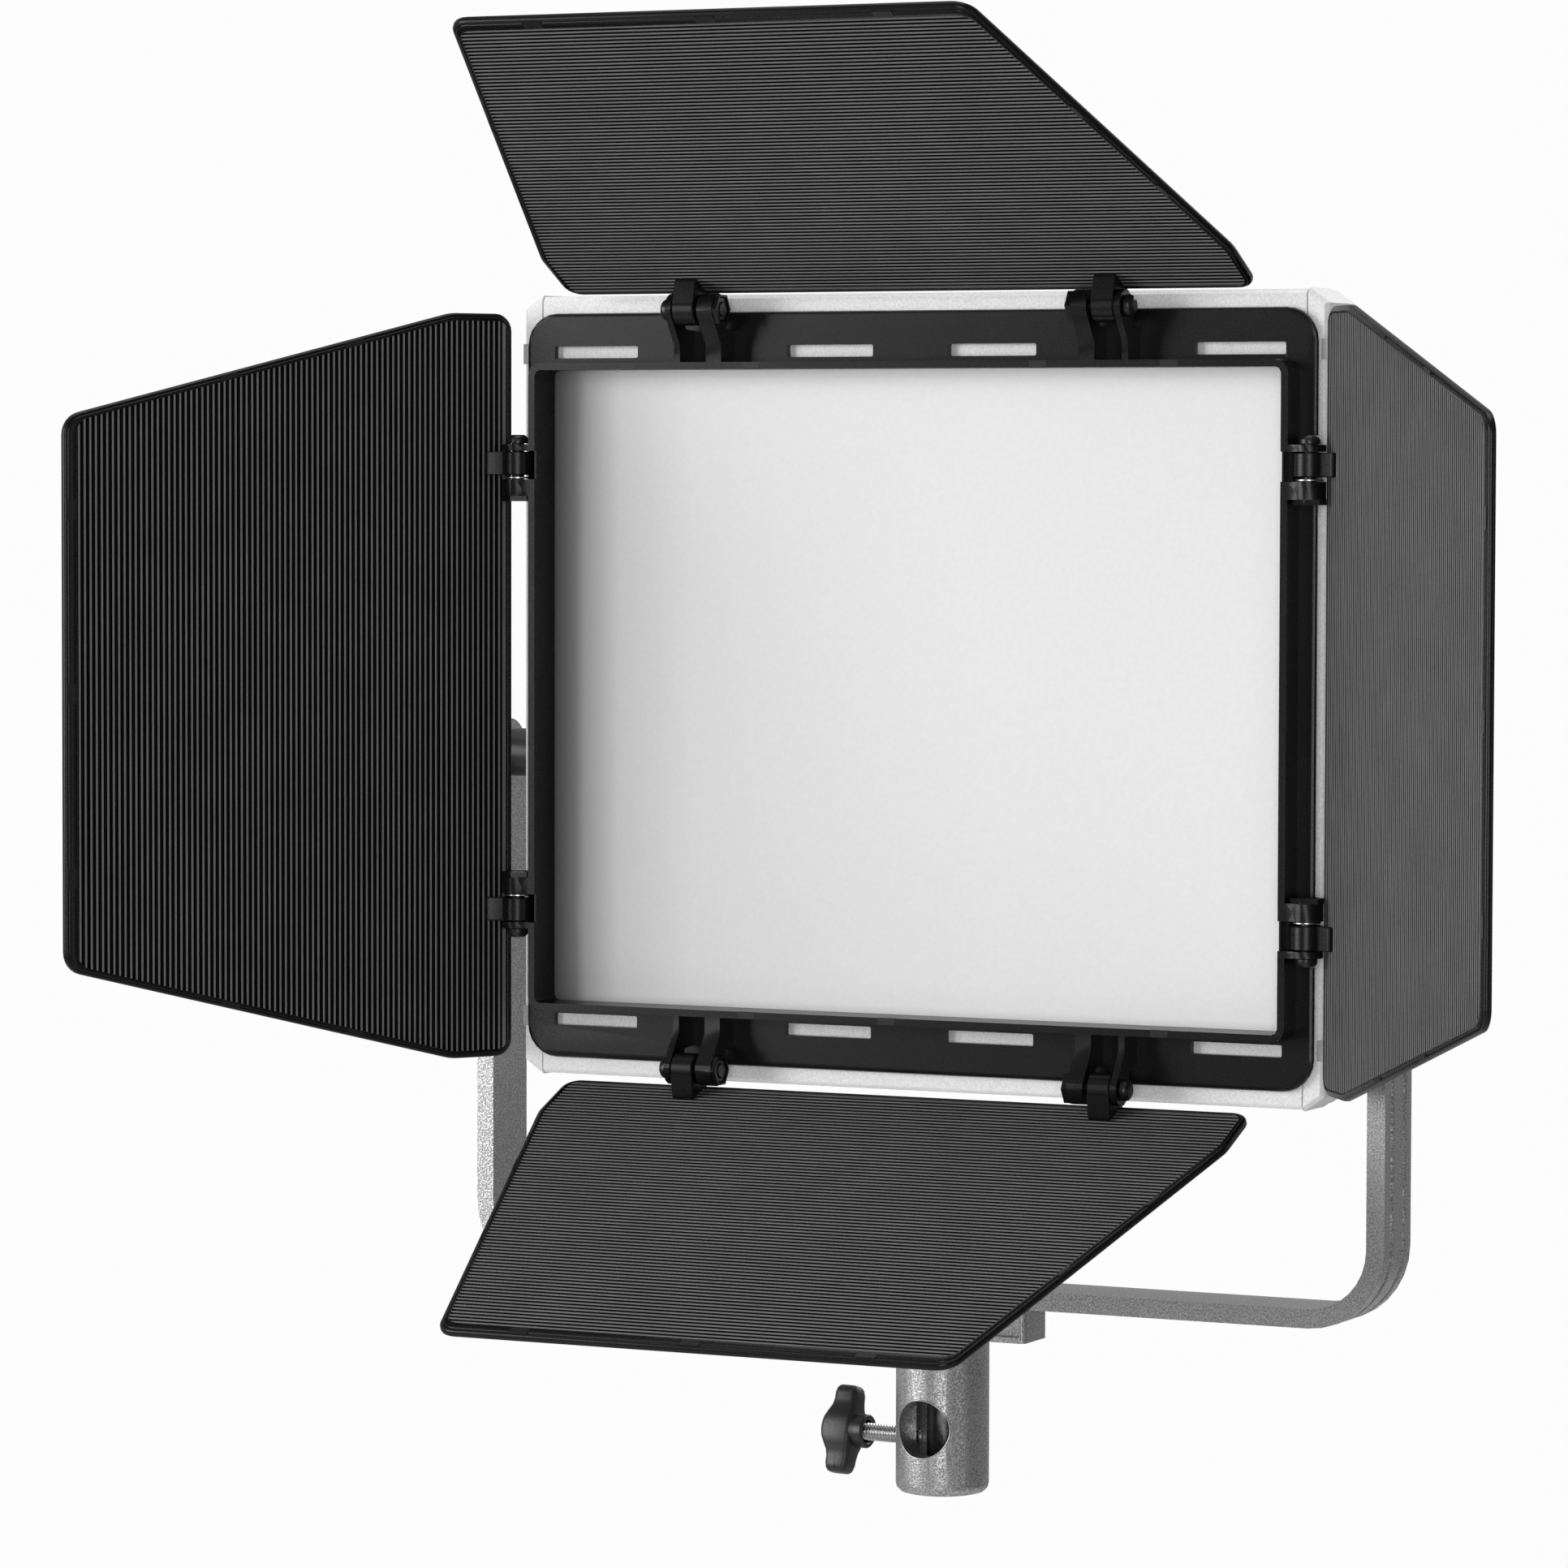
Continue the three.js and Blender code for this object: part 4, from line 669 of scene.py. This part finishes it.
def back_details():
    """Cover screws with hexagon sockets drawn as dark flush discs of painted shade, and dial ticks on the
    back.
    """
    for i, (x, z) in enumerate(COVER_SCREWS):
        verts, faces = turned(COVER_SCREW_HEAD, 28)
        place = TO_ROW @ Matrix.Translation((x, 0, z)) @ Matrix.Rotation(math.pi / 2, 4, "Z")
        piece(f"cover_screw_{i}", verts, faces, STEEL, "head", place, "steel")
        verts, faces = prism(hexagon(1.3), 38.6, 39.13, "X")
        piece(f"cover_screw_socket_{i}", verts, faces, RECESS_PAINTED_SHADE, "head", place, "steel")
    for knob, x in DIALS:
        for k in range(TICKS):
            angle = math.radians(TICK_START - TICK_STEP * k)
            cx, cz = x + TICK_RADIUS * math.cos(angle), DIAL_Z + TICK_RADIUS * math.sin(angle)
            place = TO_ROW @ Matrix.Translation((cx, 0, cz)) @ Matrix.Rotation(-angle, 4, "Y")
            verts, faces = block(-1.0, 1.0, 41.45, 41.56, -0.2, 0.2)
            piece(f"{knob}_tick_{k}", verts, faces, MARK, "head", place, "black_plastic")


back_details()

# ---------------------------------------------------------------- yoke and socket

dress("yoke_bar", SILVER, 0.7, 3)
dress("yoke_block", SILVER, 0.8, 3)
dress("stand_socket", SILVER, 0.35, 2)
dress("socket_bolt", STEEL, 0.4)
for side in ("left", "right"):
    dress("tilt_knob_" + side, KNOB, 0.8, 3)
    dress("tilt_stud_" + side, STEEL, 0.2)
    dress("tilt_boss_" + side, KNOB, 0.6, 3)


# The window's bright edge is a bead of this radius, sunk this far into the wall.
BEAD_RADIUS, BEAD_SUNK = 0.2, 0.05
# The lining's inner and outer radius, and its two ends above the socket's mouth.
LINING_RADII, LINING_ENDS = (8.0, 8.25), (1, 39.5)
# The lining's angles: round the back of the bore, clear of the lock screw's hole and the window.
LINING_ANGLES = range(24, 157, 6)


def window_chamfer():
    """The bright machined edge of the window in the socket's wall."""
    rings = []
    steps, tube = 72, 8
    for i in range(steps):
        t = 2 * math.pi * i / steps
        ring = []
        for k in range(tube):
            spin = 2 * math.pi * k / tube
            radius = WINDOW_RADIUS + BEAD_RADIUS * math.cos(spin)
            x, z = radius * math.cos(t), WINDOW_Z + radius * math.sin(t)
            wall = -math.sqrt(SOCKET_RADIUS**2 - x * x)
            ring.append((x, wall + BEAD_RADIUS * math.sin(spin) + BEAD_SUNK, z))
        rings.append(ring)
    verts, faces = loft(rings, closed=True)
    piece("window_chamfer", verts, faces, WASHER, "yoke", SOCKET, "hammered_silver", angle=60)


def bore_lining():
    """The smooth bored wall seen through the window, round the back of the socket's bore."""
    inner, outer = LINING_RADII
    low, high = (SOCKET_MOUTH_Z + end for end in LINING_ENDS)
    wall = ((inner, low), (inner, high), (outer, high), (outer, low))
    rings = []
    for angle in LINING_ANGLES:
        t = math.radians(angle)
        rings.append([(r * math.cos(t), r * math.sin(t), z) for r, z in wall])
    verts, faces = loft(rings)
    piece("bore_lining", verts, faces, BORE, "yoke", SOCKET, "hammered_silver")


window_chamfer()
bore_lining()


THREAD_PITCH, THREAD_ROOT, THREAD_DEPTH = 1.0, 2.15, 0.6


def lock_screw():
    """The lock screw with its thread as real relief."""
    steps, per_pitch = 40, 10
    start, end = LOCK_SCREW_ENDS
    count = int((end - start) / THREAD_PITCH * per_pitch)
    rings = []
    for i in range(count + 1):
        x = start + (end - start) * i / count
        ring = []
        for k in range(steps):
            phase = (x / THREAD_PITCH - k / steps) % 1.0
            tooth = 1 - abs(2 * phase - 1)
            radius = THREAD_ROOT + THREAD_DEPTH * min(1.0, max(0.0, 1.35 * tooth - 0.1))
            # The screw's end tapers over its last part of a turn.
            radius *= min(1.0, 0.75 + (end - x) / 1.5)
            a = 2 * math.pi * k / steps
            ring.append((x, radius * math.cos(a), LOCK_Z + radius * math.sin(a)))
        rings.append(ring)
    verts, faces = loft(rings)
    screw = piece("lock_screw_thread", verts, faces, STEEL, "lock_screw_slide", SOCKET, "steel", angle=50)
    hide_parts("lock_screw")


lock_screw()


# The wing handle's section by height: height, outer X, inner X and half depth.
HANDLE_SECTIONS = [
    (13.6, 37.1, 31.8, 2.4),
    (13.3, 37.6, 31.4, 2.9),
    (12.6, 38.0, 31.0, 3.4),
    (11.0, 38.3, 30.6, 3.7),
    (9.0, 38.3, 30.45, 3.7),
    (7.0, 38.6, 30.35, 4.1),
    (5.0, 39.4, 30.1, 4.9),
    (3.0, 40.2, 30.0, 5.4),
    (1.5, 40.45, 30.0, 5.55),
    (0.0, 40.55, 30.0, 5.6),
]
# Turned profiles along the lock screw's axis, as (radius, x).
HUB = [(5.0, -31.0), (5.25, -30.6), (5.25, -26.5), (4.9, -26.1), (3.9, -26.1), (3.6, -26.4), (3.6, -31.0)]
HUB_RECESS = [(3.65, -30.5), (3.65, -28.5), (2.9, -28.4), (2.9, -30.5)]
# The parting line on each lobe: its width along X, its depth and its ends by height.
PARTING_X, PARTING_Y, PARTING_Z = (-34.6, -34.45), (-3.72, -3.4), (6.4, 12.6)


def lock_handle():
    """The wing handle: two flat lobes swelling into a boss, over a hub whose recess is lined with painted
    shade.
    """
    below = [(-height, *section) for height, *section in HANDLE_SECTIONS]
    above = [(-height, *section) for height, *section in reversed(below[:-1])]
    rings = []
    for z, outer, inner, half in below + above:
        corners = [(-outer, -half), (-inner, -half), (-inner, half), (-outer, half)]
        rings.append([(x, y, z) for x, y in rounded(corners, [min(1.5, half * 0.55)] * 4, 5)])
    verts, faces = loft(rings)
    turn = Matrix.Rotation(math.radians(HANDLE_TURN), 4, "X")
    place = SOCKET @ Matrix.Translation((0, 0, LOCK_Z)) @ turn
    body, slot = "lock_handle_turn", "black_plastic"
    wings = piece("lock_handle_wings", verts, faces, KNOB, body, place, slot, angle=60)
    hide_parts("lock_handle")
    verts, faces = turned(HUB, 40)
    piece("lock_handle_hub", verts, faces, KNOB, body, place, slot)
    verts, faces = turned(HUB_RECESS)
    piece("lock_handle_recess", verts, faces, RECESS_PAINTED_SHADE, body, place, slot)
    for side, tag in ((-1, "d"), (1, "u")):
        verts, faces = block(*PARTING_X, *PARTING_Y, *sorted(side * z for z in PARTING_Z))
        piece("lock_handle_parting_" + tag, verts, faces, BLACK_TAB, body, place, slot)


lock_handle()

# ---------------------------------------------------------------- stage, light and camera


FLOOR_HALF, FLOOR_Z = 3.0, -0.9
# Where the lights point: the middle of the light's front.
AIM = (0, -0.03, 0.24)
# The room is lighter on the key light's side, above and behind.
ROOM_DIRECTION, ROOM_STRENGTH = (-0.7, 0.35, 0.3), 0.5
ROOM_SEEN = (0.985, 0.98, 0.99, 1)


def area(name, position, size, power):
    data = bpy.data.lights.new(name, "AREA")
    data.shape = "RECTANGLE"
    data.size, data.size_y = size
    data.energy = power
    obj = bpy.data.objects.new(name, data)
    bpy.context.collection.objects.link(obj)
    obj.location = position
    aim = Vector(AIM) - Vector(position)
    obj.rotation_euler = aim.to_track_quat("-Z", "Y").to_euler()


def studio():
    """A pale floor well below the socket, a pale room and soft boxes."""
    floor = bpy.data.meshes.new("floor")
    s, z = FLOOR_HALF, FLOOR_Z
    floor.from_pydata([(-s, -s, z), (s, -s, z), (s, s, z), (-s, s, z)], [], [(0, 1, 2, 3)])
    floor.materials.append(surface("floor_paint", 0.84, 0.86, 0.7, grain=2500, bump=0.0, blotch=1))
    ground = bpy.data.objects.new("floor", floor)
    bpy.context.collection.objects.link(ground)
    ground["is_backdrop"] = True

    world = bpy.data.worlds.new("room")
    bpy.context.scene.world = world
    world.use_nodes = True
    tree = world.node_tree
    ambient = tree.nodes["Background"]
    ambient.inputs["Color"].default_value = (1, 1, 1, 1)
    direction = tree.nodes.new("ShaderNodeTexCoord")
    toward = tree.nodes.new("ShaderNodeVectorMath")
    toward.operation = "DOT_PRODUCT"
    toward.inputs[1].default_value = ROOM_DIRECTION
    fade = tree.nodes.new("ShaderNodeMapRange")
    fade.inputs["From Min"].default_value = -1
    fade.inputs["To Min"].default_value = 0.0
    fade.inputs["To Max"].default_value = ROOM_STRENGTH
    tree.links.new(direction.outputs["Generated"], toward.inputs[0])
    tree.links.new(toward.outputs["Value"], fade.inputs["Value"])
    tree.links.new(fade.outputs["Result"], ambient.inputs["Strength"])
    seen = tree.nodes.new("ShaderNodeBackground")
    seen.inputs["Color"].default_value = ROOM_SEEN
    path = tree.nodes.new("ShaderNodeLightPath")
    mix = tree.nodes.new("ShaderNodeMixShader")
    tree.links.new(path.outputs["Is Camera Ray"], mix.inputs["Fac"])
    tree.links.new(ambient.outputs[0], mix.inputs[1])
    tree.links.new(seen.outputs[0], mix.inputs[2])
    tree.links.new(mix.outputs[0], tree.nodes["World Output"].inputs["Surface"])

    area("key", (-1.5, -1.5, 0.5), (1.1, 1.2), 27)
    area("front", (0.8, -2.1, 0.35), (0.8, 1.2), 15)
    area("side", (1.9, -0.7, 0.1), (0.3, 1.0), 1.5)
    area("top", (0.0, -0.1, 1.7), (1.4, 1.0), 10)
    area("back", (0.6, 2.2, 1.3), (1.6, 1.4), 20)


def camera():
    data = bpy.data.cameras.new("camera")
    data.sensor_width = 36
    data.lens = CAMERA_LENS
    data.clip_start, data.clip_end = 0.05, 50
    obj = bpy.data.objects.new("camera", data)
    bpy.context.collection.objects.link(obj)
    yaw = Matrix.Rotation(math.radians(CAMERA_YAW), 4, "Z")
    pitch = Matrix.Rotation(math.radians(90 + CAMERA_PITCH), 4, "X")
    roll = Matrix.Rotation(math.radians(CAMERA_ROLL), 4, "Z")
    obj.matrix_world = Matrix.Translation(CAMERA_PLACE) @ yaw @ pitch @ roll
    bpy.context.scene.camera = obj


studio()
camera()
bpy.context.scene.view_settings.view_transform = "Standard"

low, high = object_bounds()
